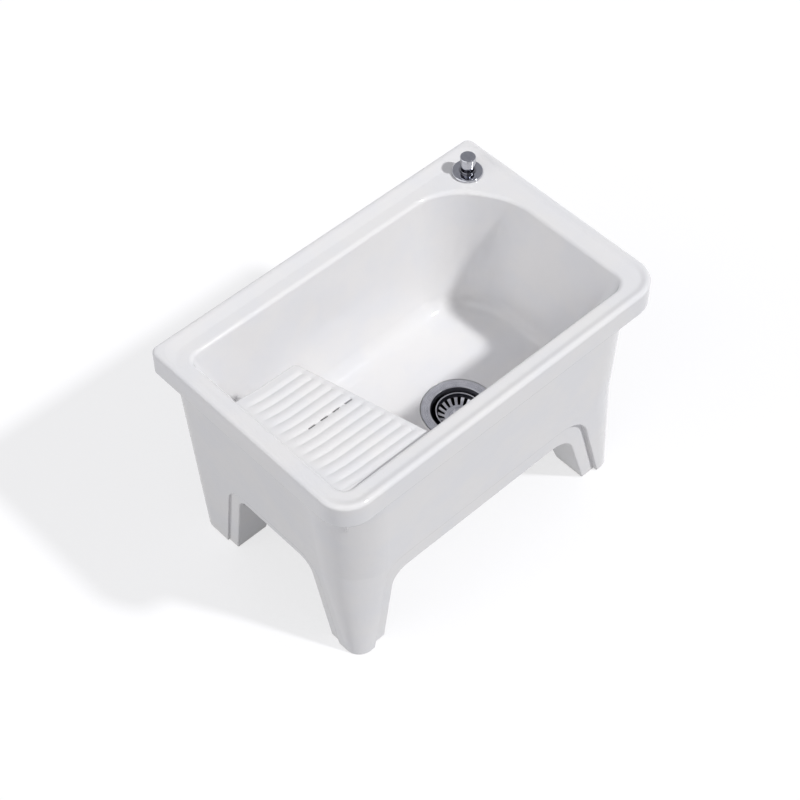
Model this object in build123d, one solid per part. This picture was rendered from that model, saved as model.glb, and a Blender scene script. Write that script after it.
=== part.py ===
from build123d import *
from math import atan2, cos, degrees, radians, sin, tan
import os

os.makedirs("parts", exist_ok=True)

# Driving dimensions, in millimetres. The origin is on the floor under the middle of the rim.
# X runs along the sink, the user stands at -Y, and Z is up.

# Rim and skirt
rim_length = 600.0
rim_width = 387.0
sink_height = 400.0
front_corner_radius = 46.0
back_corner_radius = 12.0
skirt_height = 42.0
rim_edge_radius = 6.0
skirt_foot_radius = 3.0

# Deck inside the raised bead of the rim
deck_drop = 2.4
bead_width = 7.5
bead_slope_run = 6.5
back_bead_width = 9.0
back_slope_run = 17.0
bead_crest_radius = 8.0
bead_foot_radius = 12.0
bead_back_corner = 26.0
bowl_lip_radius = 6.0

# Bowl opening at deck level, as widths of the deck on each side
deck_left = 29.0
deck_front = 32.0
deck_right = 42.5
deck_back = 47.0
bowl_depth = 209.0
draft_front = 7.0
draft_sides = 9.0
mouth_corner_front_left = 17.0
mouth_corner_front_right = 22.0
mouth_corner_back_left = 14.0
mouth_ledge_bend = 100.0
floor_corner = 46.0
floor_ledge_bend = 80.0
floor_fillet = 30.0
bowl_wall = 10.0
floor_thickness = 12.0
skin_chamfer = 22.0

# Deck control and the corner ledge that carries it
control_from_right = 51.4
control_from_back = 50.9
ledge_reach = 38.0
ledge_angle = 32.8
deck_hole_clearance = 2.0
deck_thickness = 15.0
nut_pocket_clearance = 3.0

# Body under the rim, at the floor and how it widens upwards
foot_inset_ends = 37.5
foot_inset_sides = 22.0
end_lean = 0.060
side_lean = 0.0223
front_edge_radius_top = 75.0
front_edge_radius_middle = 66.0
front_edge_radius_foot = 24.0
inner_corner_share = 0.7
back_edge_radius_top = 27.0
back_edge_radius_foot = 22.0
leg_shoulder_height = 180.0
apron_wall = 11.0
back_inset = 6.0
back_inset_height = 84.0
back_inset_slope = 22.0

# Arches in the apron
front_arch_height = 142.0
front_leg_left = 57.0
front_leg_right = 57.0
front_arch_left_slope = 0.121
front_arch_right_slope = 0.33
front_arch_left_radius = 28.0
front_arch_right_radius = 50.0
border_depth = 6.5
border_rise = 41.0
border_left = 23.5
border_right = 25.5
border_left_slope = 0.124
border_right_slope = 0.30
border_left_radius = 30.0
border_right_radius = 65.0
end_arch_height = 158.0
end_leg_front = 59.5
end_leg_back = 76.5
end_arch_slope = 0.19
end_arch_radius = 24.0
end_border_depth = 3.0
end_border_width = 20.0
arch_edge_radius = 1.8
border_edge_chamfer = 1.5
foot_edge_radius = 2.2
leg_wall = 11.0
leg_pocket_radius = 8.0

# Washboard shelf
shelf_start_drop = 4.0
shelf_lead_length = 42.0
shelf_lead_fall = 0.15
shelf_fall = 0.03
shelf_bend_radius = 150.0
shelf_depth = 209.5
shelf_width_back = 104.0
shelf_width_front = 157.0
shelf_draft = 8.0
shelf_corner_radius = 9.0
shelf_edge_radius = 4.0
shelf_spread_rate = 0.05
shelf_wall = 11.0
groove_count = 12
groove_pitch = 15.4
groove_valley_radius = 1.2
groove_from_front = 23.0
groove_from_left = 4.0
groove_end_gap = 6.0
rib_radius = 9.5
rib_flat = 1.0

# Row of slots through the board along one groove, counted from the front
slotted_groove = 7
board_slot_count = 4
board_slot_pitch = 21.2
board_slot_length = 13.0
board_slot_width = 3.0
board_slot_from_edge = 14.0

# Waste outlet in the floor
drain_from_right = 248.0
drain_from_front = 145.5
flange_radius = 55.0
flange_seat_clearance = 1.5
flange_seat_depth = 3.0
drain_hole_radius = 45.0

# Hollow space between the bowl and the apron
cavity_foot = 130.0
cavity_top_drop = 145.0
core_top_drop = 28.0
high_cavity_drop = 62.0
high_cavity_from_left = 85.0
high_cavity_from_back = 113.5
high_cavity_from_right = 110.0
high_cavity_from_front = 88.5
front_pocket_radius = 12.0

# Steel cup of the waste, heights measured down from the bowl's floor
gasket_thickness = 1.4
gasket_margin = 1.0
flange_thickness = 1.2
cup_mouth_radius = 42.5
cup_wall_radius = 36.0
cup_wall_draft = 1.0
cup_step_depth = 8.0
cup_wall_depth = 34.0
cup_seat_radius = 30.5
cup_seat_depth = 40.0
cup_seat_lip = 1.5
cup_mouth_bend = 3.0
cup_step_bend = 4.0
cup_throat_radius = 27.0
spider_depth = 50.0
spider_thickness = 2.0
spider_hub_radius = 10.0
spoke_width = 5.0
spoke_count = 4

# Plastic waste body under the floor
under_seal_thickness = 4.0
body_flange_radius = 52.0
body_flange_thickness = 4.0
body_bore_radius = 42.0
body_wall = 3.0
body_straight_depth = 58.0
spigot_depth = 88.0
spigot_length = 26.0
spigot_radius = 23.9
boss_radius = 10.0
boss_top_depth = 53.0
boss_length = 13.0
boss_rib_width = 3.0
boss_rib_count = 3
boss_rib_height = 9.0
boss_rib_turn = 30.0
body_cone_step = 1.0

# Centre screw, lift pin and the lever that raises it
screw_radius = 6.0
screw_head_radius = 9.5
screw_head_height = 3.0
screw_length = 12.0
screw_socket_across = 8.0
pin_radius = 3.0
pin_chamfer = 0.8
seal_squeeze = 0.05
seal_length = 2.0
shaft_radius = 3.0
shaft_seal_radius = 6.0
shaft_past_lever = 1.0
shaft_offset = 13.0
shaft_depth = 78.0
lever_rest_angle = 20.0
lever_tip_radius = 3.0
lever_hub_radius = 6.0
lever_width = 7.0
lever_web_width = 4.4
running_gap = 0.3
bearing_clearance = 0.08

# Shaft gland, bracket and cable crank on the back of the waste body
gland_boss_radius = 9.0
gland_boss_start = 22.0
gland_boss_end = 40.0
gland_thread_radius = 7.0
gland_thread_length = 10.0
bracket_thickness = 2.0
gland_nut_across = 19.0
gland_nut_cap = 2.0
crank_gap = 1.0
crank_thickness = 4.0
crank_length = 22.0
crank_hub_radius = 6.5
crank_tip_radius = 4.5
crank_web_width = 7.0
cable_hole_radius = 1.5
crank_screw_radius = 1.6
crank_screw_head_radius = 4.0
crank_screw_head_height = 2.6
crank_screw_length = 9.0
bracket_reach = 34.0
bracket_ring_radius = 10.0
bracket_width = 16.0
bracket_ear_margin = 2.0
adjuster_radius = 4.0
adjuster_length = 22.0
adjuster_nut_across = 12.0
adjuster_nut_thickness = 3.5

# Basket and plug that stand in the cup
basket_radius = 34.2
basket_top_depth = 4.1
basket_thickness = 0.8
basket_shoulder_depth = 8.5
basket_floor_radius = 20.5
basket_floor_depth = 16.6
basket_bead_radius = 0.9
basket_bend = 1.5
slot_count = 18
slot_width = 3.2
slot_inner_radius = 21.4
slot_outer_radius = 32.0
stem_radius = 3.0
stem_collar_radius = 5.0
grip_radius = 8.0
grip_top_depth = 4.5
grip_height = 4.0
grip_band_height = 1.5
grip_chamfer_height = 1.0
grip_chamfer_width = 1.5
grip_neck_radius = 4.5
stopper_plate_radius = 28.5
stopper_plate_thickness = 2.0
stopper_seal_radius = 31.0
stopper_seal_depth = 39.0
stopper_seal_thickness = 2.5
stem_nut_across = 11.0
stem_nut_height = 3.5
stem_tip = 0.5

# Deck control: chrome body, knob and the slide that pulls the cable
control_flange_radius = 23.0
control_flange_thickness = 3.5
control_gasket_radius = 21.5
control_gasket_thickness = 1.0
collar_radius = 11.0
collar_height = 3.0
collar_chamfer = 0.5
shank_radius = 12.0
shank_length = 48.0
spindle_radius = 4.0
spindle_seal_radius = 6.0
knob_neck_radius = 6.5
knob_neck_length = 6.0
knob_radius = 11.8
knob_foot_radius = 11.2
knob_height = 18.0
knob_edge_radius = 1.5
knob_bore_depth = 16.0
grub_radius = 1.6
grub_length = 2.4
washer_radius = 18.0
washer_rubber_thickness = 3.0
washer_steel_thickness = 1.5
deck_nut_across = 32.0
deck_nut_height = 8.0
housing_radius = 17.5
housing_bore_radius = 14.0
housing_collar_length = 10.0
housing_shoulder = 2.0
housing_length = 57.0
slider_length = 30.0
slider_floor = 4.0
slider_from_foot = 1.0
spindle_depth = 82.0
key_width = 4.0
key_reach = 1.6
cover_thickness = 4.0
cable_gland_radius = 5.0
cable_gland_length = 16.0
cable_gland_across = 14.0
cable_gland_collar = 4.0

# Places worked out from the sizes above
shelf_start = sink_height - deck_drop - shelf_start_drop
shelf_end = shelf_start - shelf_lead_length * shelf_lead_fall - shelf_lead_length * shelf_fall
lever_length = shaft_offset / cos(radians(lever_rest_angle))
lever_rise = lever_length * sin(radians(lever_rest_angle))
pin_foot = -shaft_depth - lever_rise + lever_tip_radius + running_gap
stem_foot = -stopper_seal_depth - stem_nut_height - stem_tip
pin_top = stem_foot - running_gap
crank_start = gland_boss_end + gland_thread_length + gland_nut_cap + crank_gap
adjuster_y = crank_start + crank_thickness / 2
knob_foot = (
    control_gasket_thickness + control_flange_thickness + collar_height + running_gap
)
slider_foot = -shank_length - housing_shoulder - housing_length + slider_from_foot
bracket_tilt = degrees(atan2(crank_length * cos(radians(lever_rest_angle)), bracket_reach))
half_length = rim_length / 2
half_width = rim_width / 2
skirt_foot = sink_height - skirt_height
deck_level = sink_height - deck_drop
floor_level = sink_height - bowl_depth
mouth_left = -half_length + deck_left
mouth_front = -half_width + deck_front
mouth_right = half_length - deck_right
mouth_back = half_width - deck_back
control_x = half_length - control_from_right
control_y = half_width - control_from_back
foot_half_length = half_length - foot_inset_ends
foot_half_width = half_width - foot_inset_sides
front_arch_left = foot_half_length - front_leg_left
front_arch_right = foot_half_length - front_leg_right
end_arch_front = foot_half_width - end_leg_front
end_arch_back = foot_half_width - end_leg_back
shelf_back = mouth_front + shelf_depth
shelf_free_edge_back = mouth_left + shelf_width_back
shelf_free_edge_front = mouth_left + shelf_width_front
cavity_top = sink_height - cavity_top_drop
core_top = sink_height - core_top_drop
high_cavity_top = sink_height - high_cavity_drop
high_cavity_left = -half_length + high_cavity_from_left
high_cavity_back = half_width - high_cavity_from_back
high_cavity_right = half_length - high_cavity_from_right
high_cavity_front = -half_width + high_cavity_from_front
deck_hole_radius = shank_radius + deck_hole_clearance
nut_pocket_radius = washer_radius + nut_pocket_clearance
drain_x = half_length - drain_from_right
drain_y = -half_width + drain_from_front
over = 5.0
overlap = 1.0
near = 0.01
outline_near = 0.25


def polygon_face(points, corner_radii, z):
    """A flat face at height z with straight sides and rounded corners."""
    outline = FilletPolyline(*points, radius=corner_radii, close=True)
    return Plane.XY.offset(z) * make_face(outline)


def box_points(left, front, right, back):
    return [(left, front), (right, front), (right, back), (left, back)]


def rim_face(side_inset, front_inset, back_inset_here, front_radius, back_radius, z):
    """The rim's outline drawn in from each side."""
    points = box_points(
        -half_length + side_inset,
        -half_width + front_inset,
        half_length - side_inset,
        half_width - back_inset_here,
    )
    return polygon_face(points, [front_radius, front_radius, back_radius, back_radius], z)


def body_face(z, inset, front_radius, back_radius):
    """The apron's outline at height z, drawn in by a wall."""
    reach_x = foot_half_length + end_lean * z - inset
    reach_y = foot_half_width + side_lean * z - inset
    points = box_points(-reach_x, -reach_y, reach_x, reach_y)
    return polygon_face(points, [front_radius, front_radius, back_radius, back_radius], z)


def body_block(inset, low, high):
    """The apron's solid block between two heights, with its front edges rounder at the top."""
    def front_radius(z):
        if z < leg_shoulder_height:
            share = z / leg_shoulder_height
            return front_edge_radius_foot + share * (front_edge_radius_middle - front_edge_radius_foot)
        share = (z - leg_shoulder_height) / (skirt_foot - leg_shoulder_height)
        return front_edge_radius_middle + share * (front_edge_radius_top - front_edge_radius_middle)

    def back_radius(z):
        return back_edge_radius_foot + z / skirt_foot * (back_edge_radius_top - back_edge_radius_foot)

    heights = [low, leg_shoulder_height, high] if low < leg_shoulder_height else [low, high]
    softer = inset * inner_corner_share
    faces = [
        body_face(z, inset, front_radius(z) - softer, back_radius(z) - softer)
        for z in heights
    ]
    return loft(faces, ruled=True)


def bowl_face(z, wall, bend_a, bend_b, corner_radii):
    """The bowl's outline at height z, grown outwards by a wall."""
    depth = deck_level - z
    side = depth * tan(radians(draft_sides)) - wall
    front = depth * tan(radians(draft_front)) - wall
    left = mouth_left + side
    right = mouth_right - side
    low = mouth_front + front
    high = mouth_back - side
    normal_x = -cos(radians(ledge_angle))
    normal_y = -sin(radians(ledge_angle))
    reach = ledge_reach + side
    ledge_low = control_y + (reach - (right - control_x) * normal_x) / normal_y
    ledge_high = control_x + (reach - (high - control_y) * normal_y) / normal_x
    points = [(left, low), (right, low), (right, ledge_low), (ledge_high, high), (left, high)]
    front_left, front_right, back_left = corner_radii
    return polygon_face(points, [front_left, front_right, bend_a, bend_b, back_left], z)


def bowl_block(wall, top, bottom):
    """The space inside the bowl, or its outer skin when a wall is given, with its low edges."""
    mouth_radii = [
        mouth_corner_front_left + wall,
        mouth_corner_front_right + wall,
        mouth_corner_back_left + wall,
    ]
    foot_radii = [floor_corner + wall] * 3
    upper = bowl_face(top, wall, mouth_ledge_bend - wall, mouth_ledge_bend - wall, mouth_radii)
    lower = bowl_face(bottom, wall, floor_ledge_bend - wall, floor_ledge_bend - wall, foot_radii)
    block = loft([lower, upper], ruled=True)
    return block, level_edges(block, bottom)


def level_edges(block, z):
    """The edges of a block that lie at height z."""
    return block.edges().filter_by_position(Axis.Z, z - near, z + near)


def ring_edges(block, z, least_inset, most_inset):
    """Edges at height z that lie between two distances from the rim's outline."""
    def inset(edge):
        start = edge @ 0
        return min(half_length - abs(start.X), half_width - abs(start.Y))

    return [edge for edge in level_edges(block, z) if least_inset < inset(edge) < most_inset]


def make_rim():
    """The rim block with its rounded bead, sunk deck and skirt."""
    outline = rim_face(0, 0, 0, front_corner_radius, back_corner_radius, skirt_foot)
    block = extrude(outline, amount=skirt_height)
    block = fillet(block.edges().group_by(Axis.Z)[-1], rim_edge_radius)
    block = fillet(block.edges().group_by(Axis.Z)[0], skirt_foot_radius)
    side_low = bead_width + bead_slope_run
    side_high = bead_width - bead_slope_run
    back_low = back_bead_width + back_slope_run
    back_high = back_bead_width - back_slope_run
    low_face = rim_face(
        side_low, side_low, back_low, front_corner_radius - side_low, bead_back_corner, deck_level
    )
    high_face = rim_face(
        side_high,
        side_high,
        back_high,
        front_corner_radius - side_high,
        bead_back_corner,
        sink_height + deck_drop,
    )
    block -= loft([low_face, high_face], ruled=True)
    crest = ring_edges(block, sink_height, rim_edge_radius + near, half_width)
    block = fillet(crest, bead_crest_radius)
    foot = ring_edges(block, deck_level, 0, half_width)
    return fillet(foot, bead_foot_radius)


def shelf_side(y):
    """Where the shelf's free edge is, in X, at a given Y."""
    share = (y - mouth_front) / (shelf_back - mouth_front)
    return shelf_free_edge_front + share * (shelf_free_edge_back - shelf_free_edge_front)


def shelf_outline(z, grow):
    """The shelf's outline in plan at height z, run into the walls and grown outwards."""
    depth = deck_level - z
    left = mouth_left + depth * tan(radians(draft_sides)) - bowl_lip_radius
    front = mouth_front + depth * tan(radians(draft_front)) - bowl_lip_radius
    spread = depth * tan(radians(shelf_draft)) + grow
    back = shelf_back + spread
    points = [
        (left, front),
        (shelf_side(front) + spread, front),
        (shelf_side(back) + spread, back),
        (left, back),
    ]
    return polygon_face(points, [0, 0, shelf_corner_radius + depth * shelf_spread_rate, 0], z)


def shelf_top_path(raise_by):
    """The line that the shelf's surface follows along X, as a wire in the XZ plane."""
    start_x = mouth_left - 2 * over
    knee_x = mouth_left + shelf_lead_length
    start_z = shelf_start + 2 * over * shelf_lead_fall + raise_by
    knee_z = shelf_start - shelf_lead_length * shelf_lead_fall + raise_by
    end_z = knee_z + knee_x * shelf_fall
    return FilletPolyline(
        (start_x, 0, start_z), (knee_x, 0, knee_z), (0, 0, end_z), radius=shelf_bend_radius
    )


def above_shelf(raise_by):
    """Everything above the shelf's smooth surface."""
    path = shelf_top_path(raise_by)
    start = path @ 0
    end = path @ 1
    roof = sink_height + over
    sides = Polyline(end, (end.X, 0, roof), (start.X, 0, roof), start)
    profile = make_face(Wire([*path.edges(), *sides.edges()]))
    return extrude(profile, amount=rim_width, both=True)


def groove_profile():
    """One groove across the shelf: half ribs joined by a round valley, open above the ribs."""
    half = (groove_pitch - rib_flat) / 2
    reach = rib_radius + groove_valley_radius
    rise = (reach**2 - half**2) ** 0.5
    touch_x = half * groove_valley_radius / reach
    touch_y = rise * rib_radius / reach - rib_radius
    valley_y = rise - rib_radius - groove_valley_radius
    left_rib = TangentArc((-half, 0), (-touch_x, touch_y), tangent=(1, 0))
    valley = ThreePointArc((-touch_x, touch_y), (0, valley_y), (touch_x, touch_y))
    right_rib = TangentArc((half, 0), (touch_x, touch_y), tangent=(-1, 0))
    roof = Polyline((half, 0), (half, rib_flat), (-half, rib_flat), (-half, 0))
    return make_face(Wire([*left_rib.edges(), *valley.edges(), *right_rib.edges(), *roof.edges()]))


def make_grooves():
    """All the grooves, kept short of the free edge and of the wall by sloped run-outs."""
    path = shelf_top_path(0)
    start = path @ 0
    across = Plane(origin=start, x_dir=(0, 1, 0), z_dir=path % 0)
    groove = sweep(across * groove_profile(), path=path)
    first = mouth_front + groove_from_front
    grooves = [Pos(0, first + index * groove_pitch, 0) * groove for index in range(groove_count)]

    def limit(z):
        left = mouth_left + groove_from_left + shelf_start - z
        gap = groove_end_gap + shelf_end - z
        points = [
            (left, mouth_front),
            (shelf_side(mouth_front) - gap, mouth_front),
            (shelf_side(shelf_back) - gap, shelf_back),
            (left, shelf_back),
        ]
        return polygon_face(points, [0, 0, 0, 0], z)

    room = loft([limit(shelf_end - 2 * over), limit(sink_height)], ruled=True)
    return [groove & room for groove in grooves]


def make_shelf():
    """The washboard block, from its ribbed top down to the bowl's floor."""
    foot = floor_level - floor_thickness / 2
    block = loft([shelf_outline(foot, 0), shelf_outline(sink_height, 0)], ruled=True)
    block -= above_shelf(0)
    reach = shelf_corner_radius + shelf_edge_radius

    def is_free(edge):
        middle = edge.center()
        free_side = abs(middle.X - shelf_side(middle.Y)) < reach
        return middle.Z > shelf_end - reach and (free_side or middle.Y > shelf_back)

    block = fillet([edge for edge in block.edges() if is_free(edge)], shelf_edge_radius)
    for groove in make_grooves():
        block -= groove
    return block


def leg_pocket(side_x, side_y):
    """The hollow in one leg, open at the foot and into the space under the bowl."""
    slope_x = front_arch_right_slope if side_x > 0 else front_arch_left_slope
    arch_x = front_arch_right if side_x > 0 else front_arch_left
    arch_y = end_arch_back if side_y > 0 else end_arch_front

    def level(z):
        near_x = arch_x - slope_x * z + leg_wall
        near_y = arch_y - end_arch_slope * z + leg_wall
        far_x = foot_half_length + end_lean * z - leg_wall
        inset = back_inset if side_y > 0 else border_depth
        far_y = foot_half_width + side_lean * z - leg_wall - inset
        points = [
            (side_x * near_x, side_y * near_y),
            (side_x * far_x, side_y * near_y),
            (side_x * far_x, side_y * far_y),
            (side_x * near_x, side_y * far_y),
        ]
        corner = leg_pocket_radius
        outer = front_pocket_radius if side_y < 0 else corner
        return polygon_face(points, [corner, corner, outer, corner], z)

    return loft([level(-over), level(cavity_foot + over)], ruled=True)


def beyond_side(side, inset, low, high, slope):
    """The space outside a long side of the apron drawn in by an inset, under a sloped shoulder."""
    def face_y(z, drawn_in):
        return side * (foot_half_width + side_lean * z - drawn_in)

    far = side * half_width
    outline = Polyline(
        (face_y(low - over, inset), low - over),
        (face_y(high, inset), high),
        (face_y(high + slope, 0), high + slope),
        (far, high + slope),
        (far, low - over),
        close=True,
    )
    return extrude(Plane.YZ * make_face(outline), amount=rim_length, both=True)


def make_board_slots():
    """The row of slots along one groove, cut through the board into the hollow under it."""
    y = mouth_front + groove_from_front + (slotted_groove - 1) * groove_pitch
    last = shelf_side(y) - board_slot_from_edge
    low = shelf_end - shelf_wall - over
    outline = Plane.XY.offset(low) * SlotOverall(board_slot_length, board_slot_width)
    slot = extrude(outline, amount=sink_height - low)
    return [Pos(last - index * board_slot_pitch, y, 0) * slot for index in range(board_slot_count)]


def make_cavity():
    """The space between the bowl and the apron, open downwards."""
    inner = body_block(apron_wall, cavity_foot, cavity_top)
    border_top = front_arch_height + border_rise + apron_wall
    inner -= beyond_side(-1, border_depth + apron_wall, cavity_foot, border_top, apron_wall)
    block, low_edges = bowl_block(bowl_wall, deck_level, floor_level - floor_thickness)
    skin = chamfer(low_edges, skin_chamfer)
    cavity = inner - skin
    core_foot = shelf_outline(cavity_foot, -shelf_wall)
    core_head = shelf_outline(sink_height, -shelf_wall)
    core = loft([core_foot, core_head], ruled=True) - above_shelf(-shelf_wall)
    deep = body_block(apron_wall, cavity_foot, core_top)
    high = body_block(apron_wall, cavity_top - over, high_cavity_top) - skin
    corner = [
        (high_cavity_left, high_cavity_back),
        (high_cavity_right, high_cavity_back),
        (high_cavity_right, high_cavity_front),
        (half_length, high_cavity_front),
        (half_length, half_width),
        (high_cavity_left, half_width),
    ]
    region = extrude(Plane.XY * make_face(Polyline(*corner, close=True)), amount=sink_height)
    return [cavity, core & deep, *(high & region).solids()]


def make_holes():
    """The outlet with its flange seat in the floor, and the control's hole through the deck."""
    outlet = disc(drain_hole_radius, -floor_thickness - over, over)
    seat = disc(flange_radius + flange_seat_clearance, -flange_seat_depth, over)
    deck_hole = disc(deck_hole_radius, -deck_thickness - over, over)
    nut_room = disc(nut_pocket_radius, cavity_top - over - deck_level, -deck_thickness)
    return [in_drain(outlet), in_drain(seat), in_deck(deck_hole), in_deck(nut_room)]


def arch_face(left, right, left_slope, right_slope, top, radii):
    """An arch outline from below the floor up to its top, in its own plane."""
    points = [
        (-left - left_slope * over, -over),
        (right + right_slope * over, -over),
        (right - right_slope * top, top),
        (-left + left_slope * top, top),
    ]
    outline = FilletPolyline(*points, radius=[0, 0, radii[1], radii[0]], close=True)
    return make_face(outline)


def front_arch(grow, rise, left_slope, right_slope, left_radius, right_radius):
    """The front arch's outline, or that of its border when it is grown."""
    return arch_face(
        front_arch_left + grow[0],
        front_arch_right + grow[1],
        left_slope,
        right_slope,
        front_arch_height + rise,
        [left_radius, right_radius],
    )


def front_opening():
    return front_arch(
        (0, 0),
        0,
        front_arch_left_slope,
        front_arch_right_slope,
        front_arch_left_radius,
        front_arch_right_radius,
    )


def front_border():
    return front_arch(
        (border_left, border_right),
        border_rise,
        border_left_slope,
        border_right_slope,
        border_left_radius,
        border_right_radius,
    )


def end_opening(side, grow):
    """An end arch's outline, or that of its border when it is grown, with +X towards the back."""
    low, high = (end_arch_front, end_arch_back) if side > 0 else (end_arch_back, end_arch_front)
    radius = end_arch_radius + grow
    return arch_face(
        low + grow, high + grow, end_arch_slope, end_arch_slope, end_arch_height + grow, [radius, radius]
    )


def make_arches():
    """The two tunnels that leave the four legs, front to back and end to end."""
    long_way = extrude(Plane.XZ * front_opening(), amount=rim_width, both=True)
    cross_way = extrude(Plane.YZ * end_opening(1, 0), amount=rim_length, both=True)
    return long_way, cross_way


def make_borders():
    """The shallow stepped borders round the front arch and both end arches."""
    front_plane = Plane(
        origin=(0, -foot_half_width + border_depth, 0), x_dir=(1, 0, 0), z_dir=(0, -1, -side_lean)
    )
    cuts = [extrude(front_plane * front_border(), amount=rim_width / 2)]
    for side in (-1, 1):
        end_plane = Plane(
            origin=(side * (foot_half_length - end_border_depth), 0, 0),
            x_dir=(0, side, 0),
            z_dir=(side, 0, -end_lean),
        )
        cuts.append(extrude(end_plane * end_opening(side, end_border_width), amount=rim_length / 2))
    return cuts


def arch_edges(basin):
    """The outer edges of the arches, but not across the shoulder at the back."""
    front = (Plane.XZ * front_opening()).faces()[0].outer_wire()
    end = (Plane.YZ * end_opening(1, 0)).faces()[0].outer_wire()
    drawn_in = max(border_depth, back_inset)

    def on_long_side(point):
        return abs(point.Y) > foot_half_width + side_lean * point.Z - drawn_in - foot_edge_radius

    def on_end(point):
        out = foot_half_length + end_lean * point.Z - end_border_depth
        return abs(point.X) > out - foot_edge_radius

    def follows(edge, outline, flat, outside):
        middle = edge @ 0.5
        on_shoulder = middle.Y > 0 and 0 < middle.Z - back_inset_height < back_inset_slope
        if middle.Z < over or on_shoulder or not all(outside(edge @ share) for share in (0, 0.5, 1)):
            return False
        return outline.distance_to(flat(middle)) < near

    def is_arch_edge(edge):
        on_front = follows(edge, front, lambda p: Vector(p.X, 0, p.Z), on_long_side)
        return on_front or follows(edge, end, lambda p: Vector(0, p.Y, p.Z), on_end)

    return [edge for edge in basin.edges() if is_arch_edge(edge)]


def border_edges(basin):
    """The outer edges of the step round the front arch."""
    outline = (Plane.XZ * front_border()).faces()[0].outer_wire()

    def is_outer(point):
        proud = -point.Y - foot_half_width - side_lean * point.Z + border_depth / 2
        return proud > 0 and outline.distance_to(Vector(point.X, 0, point.Z)) < outline_near

    def is_step(edge):
        return edge.center().Z > over and all(is_outer(edge @ share) for share in (0, 0.5, 1))

    return [edge for edge in basin.edges() if is_step(edge)]


def foot_edges(basin):
    """The outer edges of the four feet, where they stand on the floor."""
    def is_outer(point):
        far_x = abs(point.X) > foot_half_length - end_border_depth - foot_edge_radius
        far_y = abs(point.Y) > foot_half_width - max(border_depth, back_inset) - foot_edge_radius
        return far_x or far_y

    return [edge for edge in level_edges(basin, 0) if is_outer(edge @ 0) and is_outer(edge @ 1)]


def make_basin():
    """The one-piece ceramic sink."""
    rim = make_rim()
    body = body_block(0, 0, skirt_foot + over)
    basin = rim + body
    block, low_edges = bowl_block(0, deck_level + over, floor_level)
    basin -= fillet(low_edges, floor_fillet)
    lip = [
        edge for edge in level_edges(basin, deck_level)
        if mouth_left - over < edge.center().X < mouth_right + over
        and mouth_front - over < edge.center().Y < mouth_back + over
    ]
    basin = fillet(lip, bowl_lip_radius)
    basin += make_shelf()
    for space in make_cavity():
        basin -= space
    for hole in make_holes():
        basin -= hole
    for side_x in (-1, 1):
        for side_y in (-1, 1):
            basin -= leg_pocket(side_x, side_y)
    for cut in [*make_borders(), *make_board_slots()]:
        basin -= cut
    basin -= beyond_side(1, back_inset, 0, back_inset_height, back_inset_slope)
    for arch in make_arches():
        basin -= arch
    basin = chamfer(border_edges(basin), border_edge_chamfer)
    basin = fillet(foot_edges(basin), foot_edge_radius)
    return fillet(arch_edges(basin), arch_edge_radius)


def turned(*points):
    """A solid of revolution about Z from its half profile, given as radius and height pairs."""
    return revolve(Plane.XZ * make_face(Polyline(*points, close=True)), axis=Axis.Z)


def ring(outer, inner, low, high):
    """A plain ring or washer about Z between two heights."""
    return turned((inner, low), (outer, low), (outer, high), (inner, high))


def disc(radius, low, high):
    """A plain disc or rod about Z between two heights."""
    return turned((0, low), (radius, low), (radius, high), (0, high))


def hex_prism(across, low, high):
    """A hexagon about Z between two heights, given its size across the flats."""
    face = Plane.XY.offset(low) * RegularPolygon(across / 2, 6, major_radius=False)
    return extrude(face, amount=high - low)


def sheet(points, radii, thickness):
    """A pressed sheet of revolution about Z, with its thickness below its path."""
    path = FilletPolyline(*points, radius=radii)
    wall = offset(path, amount=thickness, side=Side.LEFT, closed=True, kind=Kind.INTERSECTION)
    return revolve(Plane.XZ * make_face(wall), axis=Axis.Z)


def in_drain(shape):
    """Places a piece made about the origin on the drain's axis at the bowl's floor."""
    return Pos(drain_x, drain_y, floor_level) * shape


def shaft_frame(shape):
    """Places a piece made along Z onto the lifter shaft, with Z running towards the back."""
    return Pos(-shaft_offset, 0, -shaft_depth) * Rot(-90, 0, 0) * shape


def make_strainer_cup():
    """Pressed steel cup: flange, wall, plug seat, throat and the spider that takes the screw."""
    top = -(flange_seat_depth - gasket_thickness - flange_thickness)
    points = [
        (flange_radius, top),
        (cup_mouth_radius, top),
        (cup_wall_radius + cup_wall_draft, -cup_step_depth),
        (cup_wall_radius, -cup_wall_depth),
        (cup_seat_radius, -cup_seat_depth),
        (cup_throat_radius, -cup_seat_depth - cup_seat_lip),
        (cup_throat_radius, -spider_depth - spider_thickness),
    ]
    cup = sheet(points, [cup_mouth_bend, cup_step_bend, 0, 0, 0], flange_thickness)
    foot = -spider_depth - spider_thickness
    hub = disc(spider_hub_radius, foot, -spider_depth)
    reach = cup_throat_radius + flange_thickness / 2
    spoke = Pos(reach / 2, 0, foot + spider_thickness / 2) * Box(reach, spoke_width, spider_thickness)
    for index in range(spoke_count):
        hub += Rot(0, 0, index * 360 / spoke_count) * spoke
    cup += hub
    return cup - disc(screw_radius + bearing_clearance, foot - over, 0)


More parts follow.
